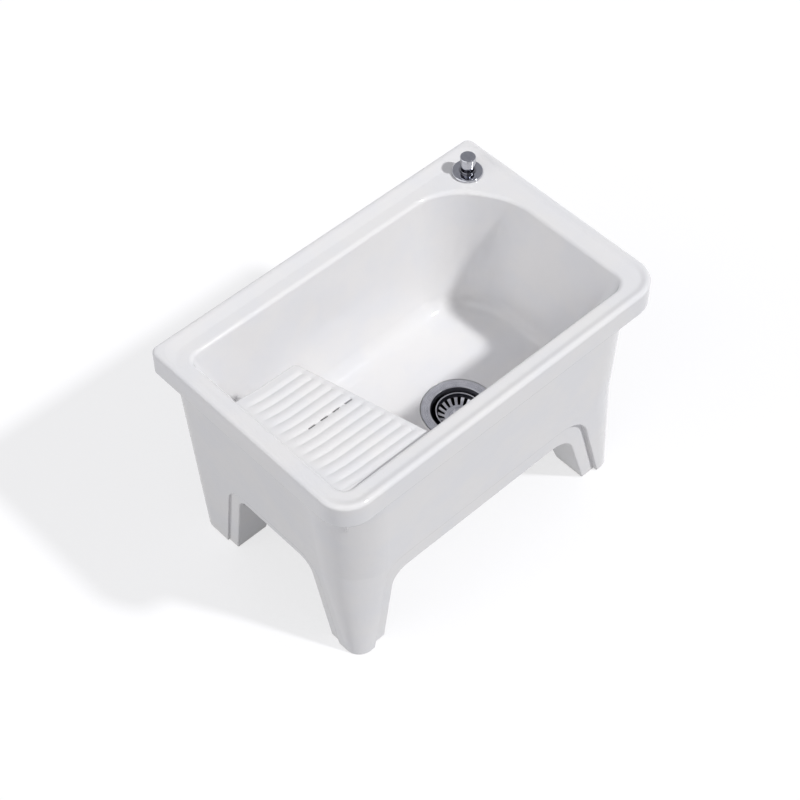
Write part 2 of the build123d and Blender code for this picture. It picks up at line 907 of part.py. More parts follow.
def make_waste_body():
    """Moulded housing under the floor: flange, bowl, cone, threaded spigot and inner boss."""
    top = -floor_thickness - under_seal_thickness
    bore_low = spigot_radius - body_wall
    foot = -spigot_depth - spigot_length
    body = turned(
        (body_bore_radius, top),
        (body_flange_radius, top),
        (body_flange_radius, top - body_flange_thickness),
        (body_bore_radius + body_wall, top - body_flange_thickness),
        (body_bore_radius + body_wall, -body_straight_depth - body_cone_step),
        (spigot_radius, -spigot_depth),
        (spigot_radius, foot),
        (bore_low, foot),
        (bore_low, -spigot_depth),
        (body_bore_radius, -body_straight_depth),
    )
    gland = disc(gland_boss_radius, gland_boss_start, gland_boss_end)
    gland += disc(gland_thread_radius, gland_boss_end, gland_boss_end + gland_thread_length)
    body += shaft_frame(gland)
    boss_foot = -boss_top_depth - boss_length
    rib_reach = body_bore_radius + body_wall / 2
    rib = Pos(rib_reach / 2, 0, -boss_top_depth - boss_rib_height / 2) * Box(
        rib_reach, boss_rib_width, boss_rib_height
    )
    boss = disc(boss_radius, boss_foot, -boss_top_depth)
    skin = turned(
        (0, -boss_top_depth),
        (rib_reach, -boss_top_depth),
        (rib_reach, -body_straight_depth),
        (bore_low, -spigot_depth),
        (0, -spigot_depth),
    )
    for index in range(boss_rib_count):
        boss += (Rot(0, 0, boss_rib_turn + index * 360 / boss_rib_count) * rib) & skin
    body += boss
    body -= disc(screw_radius, boss_foot + seal_length, 0)
    body -= disc(pin_radius + running_gap, foot, 0)
    end = gland_boss_end + gland_thread_length
    bore = disc(shaft_radius + bearing_clearance, 0, end)
    pocket = disc(shaft_seal_radius, end - seal_length, end)
    return body - shaft_frame(bore + pocket)


def make_centre_screw():
    """Hollow screw that holds the cup and the waste body together through the spider."""
    top = -spider_depth + screw_head_height
    head = disc(screw_head_radius, -spider_depth, top)
    shank = disc(screw_radius, -spider_depth - screw_length, -spider_depth)
    socket = hex_prism(screw_socket_across, top - screw_head_height / 2, top)
    bore = disc(pin_radius + bearing_clearance, -spider_depth - screw_length, top)
    return head + shank - socket - bore


def make_lift_pin():
    pin = disc(pin_radius, pin_foot, pin_top)
    return chamfer(pin.edges().filter_by(GeomType.CIRCLE), pin_chamfer)


def make_lifter_shaft():
    end = crank_start + crank_thickness
    shaft = disc(shaft_radius, -lever_width / 2 - shaft_past_lever, end)
    return shaft_frame(shaft - disc(crank_screw_radius, end - crank_screw_length, end))


def lever(length, angle, hub_radius, tip_radius, web_width, thickness):
    """A lever in the XZ plane about the origin, at an angle above the +X direction."""
    web = Pos(length / 2, 0) * Rectangle(length, web_width)
    face = web + Circle(hub_radius) + Pos(length, 0) * Circle(tip_radius)
    plate = extrude(face, amount=thickness / 2, both=True)
    return Rot(0, -angle, 0) * Rot(90, 0, 0) * plate


def make_lifter_arm():
    arm = lever(
        lever_length,
        -lever_rest_angle,
        lever_hub_radius,
        lever_tip_radius,
        lever_web_width,
        lever_width,
    )
    arm -= Rot(90, 0, 0) * Cylinder(shaft_radius, 2 * lever_width)
    return Pos(-shaft_offset, 0, -shaft_depth) * arm


def make_cable_crank():
    angle = -90 - lever_rest_angle
    crank = lever(
        crank_length, angle, crank_hub_radius, crank_tip_radius, crank_web_width, crank_thickness
    )
    crank -= Rot(90, 0, 0) * Cylinder(shaft_radius, 2 * crank_thickness)
    tip_x = crank_length * cos(radians(angle))
    tip_z = crank_length * sin(radians(angle))
    crank -= Pos(tip_x, 0, tip_z) * Rot(90, 0, 0) * Cylinder(cable_hole_radius, 2 * crank_thickness)
    return Pos(-shaft_offset, crank_start + crank_thickness / 2, -shaft_depth) * crank


def make_crank_screw():
    seat = crank_start + crank_thickness
    head = disc(crank_screw_head_radius, seat, seat + crank_screw_head_height)
    shank = disc(crank_screw_radius, seat - crank_screw_length, seat)
    return shaft_frame(head + shank)


def make_shaft_seal():
    end = gland_boss_end + gland_thread_length
    return shaft_frame(ring(shaft_seal_radius, shaft_radius + seal_squeeze, end - seal_length, end))


def make_gland_nut():
    start = gland_boss_end + bracket_thickness
    end = gland_boss_end + gland_thread_length
    nut = hex_prism(gland_nut_across, start, end + gland_nut_cap)
    nut -= disc(gland_thread_radius, start, end)
    nut -= disc(shaft_radius + running_gap, end, end + gland_nut_cap)
    return shaft_frame(nut)


def make_cable_bracket():
    """Bent plate clamped on the gland, with an ear that holds the cable adjuster."""
    start = gland_boss_end
    plate_mid = start + bracket_thickness / 2
    drop = crank_length * cos(radians(lever_rest_angle))
    plate = Rot(90, 0, 0) * Cylinder(bracket_ring_radius, bracket_thickness)
    plate += Pos(bracket_reach / 2, 0, -drop / 2) * Rot(0, bracket_tilt, 0) * Box(
        (bracket_reach**2 + drop**2) ** 0.5, bracket_thickness, bracket_width
    )
    plate = Pos(0, plate_mid, 0) * plate
    ear_depth = adjuster_y - start + adjuster_nut_across / 2 + bracket_ear_margin
    ear = Pos(bracket_reach, start + ear_depth / 2, -drop) * Box(
        bracket_thickness, ear_depth, bracket_width
    )
    hole = Pos(bracket_reach, adjuster_y, -drop) * Rot(0, 90, 0) * Cylinder(adjuster_radius, bracket_width)
    bore = Rot(90, 0, 0) * Cylinder(gland_thread_radius, 4 * gland_boss_end)
    beyond = Pos(1.5 * bracket_reach + bracket_thickness / 2, 0, -drop) * Box(
        bracket_reach, 2 * bracket_reach, 2 * bracket_reach
    )
    return Pos(-shaft_offset, 0, -shaft_depth) * (plate - beyond + ear - hole - bore)


def make_cable_adjuster():
    """Threaded tube in the bracket's ear that the cable's sleeve ends in."""
    tube = ring(adjuster_radius, cable_hole_radius, -adjuster_length / 2, adjuster_length / 2)
    face = bracket_thickness / 2
    head = hex_prism(adjuster_nut_across, face, face + adjuster_nut_thickness)
    head -= disc(adjuster_radius - overlap, 0, adjuster_length)
    return adjuster_frame(tube + head)


def make_adjuster_nut():
    face = -bracket_thickness / 2
    nut = hex_prism(adjuster_nut_across, face - adjuster_nut_thickness, face)
    return adjuster_frame(nut - disc(adjuster_radius, -adjuster_length, 0))


def adjuster_frame(shape):
    """Places a piece made along Z on the cable's line through the bracket's ear."""
    drop = crank_length * cos(radians(lever_rest_angle))
    return Pos(bracket_reach - shaft_offset, adjuster_y, -shaft_depth - drop) * Rot(0, 90, 0) * shape


def make_flange_gasket():
    top = -flange_seat_depth + gasket_thickness
    return ring(flange_radius - gasket_margin, drain_hole_radius + gasket_margin, -flange_seat_depth, top)


def make_under_seal():
    top = -floor_thickness
    return ring(body_flange_radius, drain_hole_radius + gasket_margin, top - under_seal_thickness, top)


def make_pin_seal():
    low = -boss_top_depth - boss_length + seal_length
    return ring(screw_radius, pin_radius + seal_squeeze, low, -spider_depth - screw_length)


def make_basket_bowl():
    """Pressed basket: beaded rim, sloped shoulder with radial slots and a flat middle."""
    points = [
        (basket_radius - basket_bead_radius, -basket_top_depth),
        (basket_radius - 2 * basket_bead_radius, -basket_shoulder_depth),
        (basket_floor_radius, -basket_floor_depth),
        (stem_radius, -basket_floor_depth),
    ]
    basket = sheet(points, [basket_bend, 0], basket_thickness)
    bead_face = Pos(basket_radius - basket_bead_radius, -basket_top_depth) * Circle(basket_bead_radius)
    basket += revolve(Plane.XZ * bead_face, axis=Axis.Z)
    slot_length = slot_outer_radius - slot_inner_radius
    middle = (slot_outer_radius + slot_inner_radius) / 2
    slot = Pos(middle, 0, -basket_floor_depth) * extrude(
        SlotOverall(slot_length, slot_width), amount=basket_floor_depth, both=True
    )
    for index in range(slot_count):
        basket -= Rot(0, 0, index * 360 / slot_count) * slot
    return basket


def make_basket_stem():
    """Turned stem with the finger grip above the basket and a thread for its nut below."""
    floor = -basket_floor_depth
    plate = -stopper_seal_depth + stopper_seal_thickness + stopper_plate_thickness
    return turned(
        (0, stem_foot),
        (stem_radius, stem_foot),
        (stem_radius, plate),
        (stem_collar_radius, plate),
        (stem_collar_radius, floor - basket_thickness),
        (stem_radius, floor - basket_thickness),
        (stem_radius, floor),
        (grip_neck_radius, floor),
        (grip_neck_radius, -grip_top_depth - grip_height),
        (grip_radius, -grip_top_depth - grip_chamfer_height - grip_band_height),
        (grip_radius, -grip_top_depth - grip_chamfer_height),
        (grip_radius - grip_chamfer_width, -grip_top_depth),
        (0, -grip_top_depth),
    )


def make_stopper_plate():
    low = -stopper_seal_depth + stopper_seal_thickness
    return ring(stopper_plate_radius, stem_radius, low, low + stopper_plate_thickness)


def make_stopper_seal():
    high = -stopper_seal_depth + stopper_seal_thickness
    return ring(stopper_seal_radius, stem_radius, -stopper_seal_depth, high)


def make_stem_nut():
    high = -stopper_seal_depth
    nut = hex_prism(stem_nut_across, high - stem_nut_height, high)
    return nut - disc(stem_radius, high - stem_nut_height, high)


def in_deck(shape):
    """Places a piece made about the origin on the control's axis at the deck's surface."""
    return Pos(control_x, control_y, deck_level) * shape


def make_control_gasket():
    return ring(control_gasket_radius, shank_radius, 0, control_gasket_thickness)


def make_control_body():
    """Chrome flange with its stepped collar and the threaded shank through the deck."""
    low = control_gasket_thickness
    high = low + control_flange_thickness
    top = high + collar_height
    body = disc(control_flange_radius, low, high)
    body = fillet(body.edges().group_by(Axis.Z)[-1], control_flange_thickness / 2)
    collar = disc(collar_radius, high - overlap, top)
    collar = chamfer(collar.edges().group_by(Axis.Z)[-1], collar_chamfer)
    body = body + collar + disc(shank_radius, -shank_length, low + overlap)
    body -= disc(spindle_radius + bearing_clearance, -shank_length, top)
    return body - disc(spindle_seal_radius, top - seal_length, top)


def make_spindle_seal():
    top = control_gasket_thickness + control_flange_thickness + collar_height
    return ring(spindle_seal_radius, spindle_radius + seal_squeeze, top - seal_length, top)


def make_control_spindle():
    return disc(spindle_radius, -spindle_depth, knob_foot + knob_bore_depth)


def make_control_knob():
    """Turned knob on a narrow neck, bored from below for the spindle."""
    shoulder = knob_foot + knob_neck_length
    knob = loft(
        [
            Plane.XY.offset(shoulder) * Circle(knob_foot_radius),
            Plane.XY.offset(shoulder + knob_height) * Circle(knob_radius),
        ]
    )
    knob = fillet(knob.edges().filter_by(GeomType.CIRCLE), knob_edge_radius)
    knob += disc(knob_neck_radius, knob_foot, shoulder + overlap)
    knob -= disc(spindle_radius, knob_foot, knob_foot + knob_bore_depth)
    return knob - grub_frame(disc(grub_radius, 0, knob_neck_radius))


def grub_frame(shape):
    """Places a piece made along Z in the knob's neck, pointing to the back."""
    middle = knob_foot + knob_neck_length / 2
    return Pos(0, 0, middle) * Rot(-90, 0, 0) * shape


def make_grub_screw():
    seat = grub_frame(disc(grub_radius, spindle_radius - overlap, spindle_radius + grub_length))
    return seat - disc(spindle_radius, 0, knob_foot + knob_bore_depth)


def make_washer_rubber():
    return ring(washer_radius, shank_radius, -deck_thickness - washer_rubber_thickness, -deck_thickness)


def make_washer_steel():
    high = -deck_thickness - washer_rubber_thickness
    return ring(washer_radius, shank_radius, high - washer_steel_thickness, high)


def make_deck_nut():
    high = -deck_thickness - washer_rubber_thickness - washer_steel_thickness
    nut = hex_prism(deck_nut_across, high - deck_nut_height, high)
    return nut - disc(shank_radius, high - deck_nut_height, high)


def make_slider_housing():
    """Tube screwed on the shank, with a groove down its bore for the slide's key."""
    top = -shank_length + housing_collar_length
    shoulder = -shank_length - housing_shoulder
    foot = shoulder - housing_length
    tube = turned(
        (housing_bore_radius, foot),
        (housing_radius, foot),
        (housing_radius, top),
        (shank_radius, top),
        (shank_radius, -shank_length),
        (spindle_radius + running_gap, -shank_length),
        (spindle_radius + running_gap, shoulder),
        (housing_bore_radius, shoulder),
    )
    reach = housing_bore_radius + key_reach
    groove_width = key_width + 2 * running_gap
    groove = Pos(reach / 2, 0, (shoulder + foot) / 2) * Box(reach, groove_width, housing_length)
    return tube - groove


def make_cable_slider():
    """Keyed cup that the turning spindle draws up the housing, with the cable in its floor."""
    low = slider_foot
    high = low + slider_length
    slider = disc(housing_bore_radius - running_gap, low, high)
    reach = housing_bore_radius + key_reach - running_gap
    slider += Pos(reach / 2, 0, (low + high) / 2) * Box(reach, key_width, slider_length)
    slider -= disc(spindle_radius + running_gap, low + slider_floor, high)
    return slider - disc(cable_hole_radius, low, low + slider_floor)


def make_housing_cover():
    foot = -shank_length - housing_shoulder - housing_length
    cover = disc(housing_radius, foot - cover_thickness, foot)
    return cover - disc(cable_gland_radius, foot - cover_thickness, foot)


def make_control_gland():
    """Threaded tube in the housing's cover that the cable's sleeve ends in."""
    cover_foot = -shank_length - housing_shoulder - housing_length - cover_thickness
    foot = cover_foot - cable_gland_length
    tube = ring(cable_gland_radius, cable_hole_radius, foot, cover_foot + cover_thickness)
    collar = hex_prism(cable_gland_across, cover_foot - cable_gland_collar, cover_foot)
    return tube + (collar - disc(cable_gland_radius - overlap, foot, cover_foot))


if __name__ == "__main__":
    drain_pieces = {
        "strainer_cup": make_strainer_cup(),
        "flange_gasket": make_flange_gasket(),
        "under_seal": make_under_seal(),
        "waste_body": make_waste_body(),
        "centre_screw": make_centre_screw(),
        "lift_pin": make_lift_pin(),
        "pin_seal": make_pin_seal(),
        "lifter_shaft": make_lifter_shaft(),
        "lifter_arm": make_lifter_arm(),
        "cable_crank": make_cable_crank(),
        "crank_screw": make_crank_screw(),
        "shaft_seal": make_shaft_seal(),
        "gland_nut": make_gland_nut(),
        "cable_bracket": make_cable_bracket(),
        "cable_adjuster": make_cable_adjuster(),
        "adjuster_nut": make_adjuster_nut(),
        "basket_bowl": make_basket_bowl(),
        "basket_stem": make_basket_stem(),
        "stopper_plate": make_stopper_plate(),
        "stopper_seal": make_stopper_seal(),
        "stem_nut": make_stem_nut(),
    }
    deck_pieces = {
        "control_gasket": make_control_gasket(),
        "control_body": make_control_body(),
        "spindle_seal": make_spindle_seal(),
        "control_spindle": make_control_spindle(),
        "control_knob": make_control_knob(),
        "grub_screw": make_grub_screw(),
        "deck_washer_rubber": make_washer_rubber(),
        "deck_washer_steel": make_washer_steel(),
        "deck_nut": make_deck_nut(),
        "slider_housing": make_slider_housing(),
        "cable_slider": make_cable_slider(),
        "housing_cover": make_housing_cover(),
        "control_cable_gland": make_control_gland(),
    }
    for name, shape in drain_pieces.items():
        export_step(in_drain(shape), f"parts/{name}.step")
    for name, shape in deck_pieces.items():
        export_step(in_deck(shape), f"parts/{name}.step")
    export_step(make_basin(), "parts/basin.step")
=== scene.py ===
import math

import bmesh
import bpy
from bpy.props import FloatProperty, FloatVectorProperty, IntProperty, PointerProperty
from bpy.types import Operator, Panel, PropertyGroup
from mathutils import Matrix, Vector


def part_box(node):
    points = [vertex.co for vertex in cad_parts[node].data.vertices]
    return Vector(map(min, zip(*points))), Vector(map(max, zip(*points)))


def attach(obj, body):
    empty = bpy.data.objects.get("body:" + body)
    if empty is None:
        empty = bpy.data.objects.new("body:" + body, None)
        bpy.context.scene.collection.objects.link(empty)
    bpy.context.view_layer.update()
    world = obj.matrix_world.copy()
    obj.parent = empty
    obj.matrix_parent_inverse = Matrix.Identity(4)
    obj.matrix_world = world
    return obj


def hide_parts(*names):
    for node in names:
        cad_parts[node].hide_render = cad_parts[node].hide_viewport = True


bl_info = {
    "name": "Mop Sink with Washboard",
    "version": (1, 0, 0),
    "blender": (4, 5, 0),
    "location": "View3D > Sidebar > Mop Sink",
    "description": "Glazes a mop sink, finishes its waste and plug control, and lights it",
    "category": "Object",
}

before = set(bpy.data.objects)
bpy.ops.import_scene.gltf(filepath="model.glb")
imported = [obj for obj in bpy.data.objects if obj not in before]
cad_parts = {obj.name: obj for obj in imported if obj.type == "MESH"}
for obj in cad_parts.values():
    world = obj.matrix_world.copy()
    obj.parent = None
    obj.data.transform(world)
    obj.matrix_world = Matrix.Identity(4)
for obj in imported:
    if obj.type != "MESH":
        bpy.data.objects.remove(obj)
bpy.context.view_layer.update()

WHITE = (1.0, 1.0, 1.0, 1.0)
# Nearly all of a noise's values lie between these two.
NOISE_SPAN = (0.3, 0.7)


def mid(node):
    """The middle of a node's box."""
    low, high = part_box(node)
    return (Vector(low) + Vector(high)) / 2


DRAIN = mid("strainer_cup")
CONTROL = mid("control_body")
SHAFT = mid("lifter_shaft")


def linear(hex_colour):
    """An sRGB hex value as a linear colour with alpha."""
    channels = [int(hex_colour[start:start + 2], 16) / 255 for start in (1, 3, 5)]
    curve = [c / 12.92 if c <= 0.04045 else ((c + 0.055) / 1.055) ** 2.4 for c in channels]
    return (*curve, 1.0)


def colour_property(name, description, hex_colour):
    return FloatVectorProperty(
        name=name,
        description=description,
        subtype="COLOR",
        size=4,
        min=0.0,
        max=1.0,
        default=linear(hex_colour),
    )


def length_property(name, description, metres):
    return FloatProperty(name=name, description=description, default=metres, unit="LENGTH")


class GlazeSettings(PropertyGroup):
    white: colour_property("Glaze", "Colour of the fired glaze", "#EDECEC")
    shade: colour_property("Cloud", "Colour where the glaze lies a little thicker", "#EAEAEC")
    biscuit: colour_property("Biscuit", "Colour of the bare fired clay under the feet", "#D9CFBD")
    biscuit_grain: colour_property("Biscuit grain", "Second colour of the bare clay", "#C9BEAB")
    fleck: colour_property("Fleck", "Colour of the rare iron specks in the glaze", "#B9B2A6")
    wave: FloatProperty(
        name="Waviness", description="Width of the slow waves in the glaze",
        default=0.022, min=0.002, max=0.1, unit="LENGTH",
    )
    soft_edge: FloatProperty(
        name="Soft edge", description="How far the glaze rounds the edges that it runs over",
        default=0.0025, min=0.0, max=0.02, unit="LENGTH",
    )
    bare_foot: FloatProperty(
        name="Bare foot", description="Height of the unglazed band under the feet",
        default=0.0014, min=0.0, max=0.01, unit="LENGTH",
    )


class MetalSettings(PropertyGroup):
    steel: colour_property("Stainless steel", "Colour of the pressed strainer", "#DDDDE2")
    steel_worn: colour_property("Worn steel", "Colour of the steel where it is rubbed", "#CACAD0")
    # Painted shade: this dark colour is painted inside the strainer cup, on the basket's shoulder,
    # on the parts under the basket and on the control's body under its knob.
    film_and_painted_shade: colour_property("Film", "Colour of steel under a film of soap and grease", "#47474D")
    chrome: colour_property("Chrome", "Colour of the plated control", "#C6C7CC")
    chrome_dull: colour_property("Dull chrome", "Colour of chrome that has dried wet", "#BBBCC3")
    zinc: colour_property("Zinc", "Colour of the plated screws and bracket", "#B4B8BE")
    zinc_tint: colour_property("Zinc tint", "Second colour of the passivated zinc", "#BDB8A6")
    brass: colour_property("Brass", "Colour of the turned nut and spindle", "#C9A564")
    brass_dull: colour_property("Dull brass", "Colour of brass that has been handled", "#A9875A")


class PlasticSettings(PropertyGroup):
    rubber: colour_property("Rubber", "Colour of the seals and gaskets", "#26262A")
    rubber_bloom: colour_property("Bloom", "Colour of the pale bloom on the rubber", "#3A3A3E")
    waste: colour_property("Waste body", "Colour of the moulded waste", "#E4E3DF")
    waste_shade: colour_property("Waste shade", "Second colour of the moulded waste", "#D9D8D2")
    housing: colour_property("Housing", "Colour of the cable housing", "#2C2D31")
    housing_shade: colour_property("Housing shade", "Second colour of the cable housing", "#393A3F")


class BoardSettings(PropertyGroup):
    wall_x: length_property("Wall", "Where the board meets the left wall", -0.271)
    front_y: length_property("Front", "Where the board meets the front wall", -0.1615)
    knee_x: length_property("Knee", "Where the board's slope eases", -0.229)
    knee_z: length_property("Knee height", "Height of the board there", 0.3873)
    knee_reach: length_property("Knee reach", "Length over which the slope eases, each way", 0.0089)
    lead_slope: FloatProperty(name="Lead slope", description="Fall beside the wall", default=0.15)
    main_slope: FloatProperty(name="Slope", description="Fall of the rest", default=0.03)
    edge_front_x: length_property("Edge at the front", "Free edge at the front wall", -0.1122)
    edge_back_x: length_property("Edge at the back", "Free edge at the back", -0.1652)
    back_y: length_property("Back", "The board's back edge", 0.0496)
    corner: length_property("Corner", "Radius of the free corner in plan", 0.0096)
    edge: length_property("Edge", "Radius of the glazed edge", 0.003)
    glaze_rise: length_property("Rise", "Height of the ribs above the board's surface", 0.0007)
    coat: length_property("Coat", "Thickness of the ribbed skin, down into the casting", 0.0012)
    rib_count: IntProperty(name="Ribs", description="Number of ribs", default=13, min=2, max=40)
    rib_pitch: length_property("Rib pitch", "Distance from rib to rib", 0.0154)
    first_rib_y: length_property("First rib", "Middle of the rib nearest the front", -0.1462)
    rib_radius: length_property("Rib radius", "Radius of a rib's round back", 0.0145)
    valley: length_property("Valley", "Half the width over which a valley is rounded", 0.0004)
    end_depth: length_property("End depth", "Depth of a valley at the free edge", 0.00062)
    slot_y: length_property("Slot row", "Where the row of slots lies", -0.0461)
    slot_x: length_property("First slot", "Middle of the slot nearest the free edge", -0.1572)
    slot_pitch: length_property("Slot pitch", "Distance from slot to slot", 0.0212)
    slot_count: IntProperty(name="Slots", description="Number of slots", default=4, min=0, max=10)
    slot_length: length_property("Slot length", "Length of a slot", 0.013)
    slot_width: length_property("Slot width", "Width of a slot", 0.0029)


class BasketSettings(PropertyGroup):
    radius: length_property("Radius", "Outside of the rim", 0.0342)
    bead: length_property("Bead", "Radius of the rolled rim", 0.0009)
    sheet: length_property("Sheet", "Thickness of the steel", 0.0008)
    slot_outer: length_property("Slot outside", "Outer end of the slots", 0.0306)
    slot_inner: length_property("Slot inside", "Inner end of the slots", 0.0208)
    floor_radius: length_property("Middle", "Radius of the flat middle", 0.0200)
    stem_radius: length_property("Stem hole", "Radius of the hole for the stem", 0.003)
    slot_count: IntProperty(name="Slots", description="Number of slots", default=18, min=3, max=60)
    slot_steps: IntProperty(
        name="Steps", description="Facets from slot to slot", default=8, min=2, max=24
    )
    slot_share: FloatProperty(
        name="Slot share", description="Share of the wall that a slot takes", default=0.5
    )


class StudioSettings(PropertyGroup):
    key: FloatProperty(
        name="Key", description="Strength of the key light", default=2.15, min=0.0, max=10.0
    )
    key_turn: FloatProperty(
        name="Key turn", description="Direction of the key light, from +X towards +Y",
        default=math.radians(-62.3), subtype="ANGLE",
    )
    key_height: FloatProperty(
        name="Key height", description="Elevation of the key light",
        default=math.radians(47.7), subtype="ANGLE",
    )
    key_width: FloatProperty(
        name="Key width", description="Angular size of the key light",
        default=math.radians(4.0), subtype="ANGLE",
    )
    fill: FloatProperty(
        name="Fill", description="Strength of the fill light", default=0.97, min=0.0, max=10.0
    )
    fill_height: FloatProperty(
        name="Fill height", description="Elevation of the fill light",
        default=math.radians(25.0), subtype="ANGLE",
    )
    fill_width: FloatProperty(
        name="Fill width", description="Angular size of the fill light",
        default=math.radians(70.0), subtype="ANGLE",
    )
    ambient: colour_property("Ambient", "Light that comes from overhead", "#A0A0A3")
    ambient_low: colour_property("Low ambient", "Light that comes from all round", "#8C8C90")
    ceiling: colour_property("Ceiling", "What polished metal shows of the room above", "#A2A3A9")
    floor: colour_property("Floor", "Colour that the floor throws back on the object", "#9A9A9D")
    floor_glow: FloatProperty(
        name="Floor glow", description="Brightness added to the floor where it is seen",
        default=0.70, min=0.0, max=1.0,
    )
    floor_size: FloatProperty(
        name="Floor size", description="Side of the square floor",
        default=14.0, min=2.0, max=50.0, unit="LENGTH",
    )


class CameraSettings(PropertyGroup):
    lens: FloatProperty(
        name="Lens", description="Focal length on a 36 mm sensor",
        default=88.07, min=10.0, max=300.0,
    )
    target_height: FloatProperty(
        name="Target height", description="Height of the rim that the camera was set on",
        default=0.4, min=0.0, max=1.0, unit="LENGTH",
    )
    distance: FloatProperty(
        name="Distance", description="Camera to the rim's middle, along the view",
        default=2.658, min=0.5, max=10.0, unit="LENGTH",
    )
    sideways: length_property("Sideways", "Camera to the right of the middle", -0.01435)
    upwards: length_property("Upwards", "Camera above the middle, across the view", -0.118)


class SinkSettings(PropertyGroup):
    glaze: PointerProperty(type=GlazeSettings)
    metal: PointerProperty(type=MetalSettings)
    plastic: PointerProperty(type=PlasticSettings)
    board: PointerProperty(type=BoardSettings)
    basket: PointerProperty(type=BasketSettings)
    studio: PointerProperty(type=StudioSettings)
    camera: PointerProperty(type=CameraSettings)


def add_node(tree, kind, inputs=None, **settings):
    """Adds a node, sets its own settings, and fills or links its inputs by name or number."""
    node = tree.nodes.new(kind)
    for setting, value in settings.items():
        setattr(node, setting, value)
    for key, value in (inputs or {}).items():
        socket = node.inputs[key]
        if isinstance(value, bpy.types.NodeSocket):
            tree.links.new(value, socket)
        else:
            socket.default_value = value
    return node


def new_material(name):
    """An empty material with a surface shader, and its node tree."""
    material = bpy.data.materials.new(name)
    material.use_nodes = True
    tree = material.node_tree
    tree.nodes.clear()
    shader = add_node(tree, "ShaderNodeBsdfPrincipled")
    add_node(tree, "ShaderNodeOutputMaterial", {"Surface": shader.outputs["BSDF"]})
    return material, tree, shader


def noise(tree, width, detail=2.0, roughness=0.5):
    """Soft noise whose patches are about one width across."""
    place = add_node(tree, "ShaderNodeTexCoord").outputs["Object"]
    return add_node(
        tree,
        "ShaderNodeTexNoise",
        {"Vector": place, "Scale": 1 / width, "Detail": detail, "Roughness": roughness},
    ).outputs["Fac"]


def ranged(tree, value, low, high, out_low=0.0, out_high=1.0, smooth=False):
    """A value carried from one range to another and held at its ends."""
    kind = "SMOOTHSTEP" if smooth else "LINEAR"
    return add_node(
        tree,
        "ShaderNodeMapRange",
        {0: value, 1: low, 2: high, 3: out_low, 4: out_high},
        interpolation_type=kind,
    ).outputs[0]


def blend_colours(tree, share, first, second):
    return add_node(
        tree, "ShaderNodeMix", {0: share, 6: first, 7: second}, data_type="RGBA"
    ).outputs[2]


def bump(tree, height, depth, under=None):
    """A bump of a real depth in metres, laid over another one when that is given."""
    inputs = {"Height": height, "Distance": depth, "Strength": 1.0}
    if under is not None:
        inputs["Normal"] = under
    return add_node(tree, "ShaderNodeBump", inputs).outputs["Normal"]


def from_axis(tree, centre):
    """Distance from an upright axis through a point, and the height above that point."""
    place = add_node(tree, "ShaderNodeTexCoord")
    moved = add_node(
        tree, "ShaderNodeVectorMath", {0: place.outputs["Object"], 1: centre}, operation="SUBTRACT"
    )
    parts = add_node(tree, "ShaderNodeSeparateXYZ", {0: moved.outputs[0]})
    flat = add_node(tree, "ShaderNodeCombineXYZ", {0: parts.outputs[0], 1: parts.outputs[1]})
    radius = add_node(tree, "ShaderNodeVectorMath", {0: flat.outputs[0]}, operation="LENGTH")
    return radius.outputs["Value"], parts.outputs[2]


def turned_lines(tree, centre, pitch):
    """Fine rings left by a lathe, as noise along the radius and up the axis."""
    radius, height = from_axis(tree, centre)
    both = add_node(tree, "ShaderNodeMath", {0: radius, 1: height}, operation="ADD")
    return add_node(
        tree,
        "ShaderNodeTexNoise",
        {"W": both.outputs[0], "Scale": 1 / pitch, "Detail": 3.0, "Roughness": 0.6},
        noise_dimensions="1D",
    ).outputs["Fac"]


def vitreous_china(name, settings, soft_edge):
    """Fired white glaze: a hard clear gloss over white, with slow waves and hardly any texture."""
    foot_blur, cloud_width, gloss_width = 0.0006, 0.07, 0.03
    grain_width, peel_width = 0.0012, 0.0035
    wave_depth, peel_depth = 0.0002, 0.000012
    specks_in_a_metre = 110.0
    material, tree, shader = new_material(name)
    place = add_node(tree, "ShaderNodeTexCoord").outputs["Object"]
    height = add_node(tree, "ShaderNodeSeparateXYZ", {0: place}).outputs[2]
    glazed = ranged(tree, height, settings.bare_foot, settings.bare_foot + foot_blur)
    cloud = ranged(tree, noise(tree, cloud_width, 3.0), 0.42, 0.62)
    white = blend_colours(tree, cloud, settings.white, settings.shade)
    # One iron speck, at most 0.6 mm wide, in each cell of 9 mm. The surface cuts few of them.
    cells = add_node(tree, "ShaderNodeTexVoronoi", {"Vector": place, "Scale": specks_in_a_metre})
    fleck = ranged(tree, cells.outputs["Distance"], 0.02, 0.035, 0.7, 0.0)
    flecked = blend_colours(tree, fleck, white, settings.fleck)
    grain = ranged(tree, noise(tree, grain_width, 4.0), *NOISE_SPAN)
    clay = blend_colours(tree, grain, settings.biscuit, settings.biscuit_grain)
    tree.links.new(blend_colours(tree, glazed, clay, flecked), shader.inputs["Base Color"])
    gloss = ranged(tree, noise(tree, gloss_width), *NOISE_SPAN, 0.07, 0.12)
    rough = add_node(tree, "ShaderNodeMix", {0: glazed, 2: 0.8, 3: gloss}).outputs[0]
    tree.links.new(rough, shader.inputs["Roughness"])
    # Glaze runs round every edge, so edges read rounder than they are cut.
    soft = add_node(tree, "ShaderNodeBevel", {"Radius": soft_edge}, samples=6)
    waves = bump(tree, noise(tree, settings.wave, 1.0), wave_depth, soft.outputs["Normal"])
    peel = bump(tree, noise(tree, peel_width, 1.0), peel_depth, waves)
    tree.links.new(peel, shader.inputs["Normal"])
    shader.inputs["IOR"].default_value = 1.52
    shader.inputs["Specular IOR Level"].default_value = 0.5
    return material


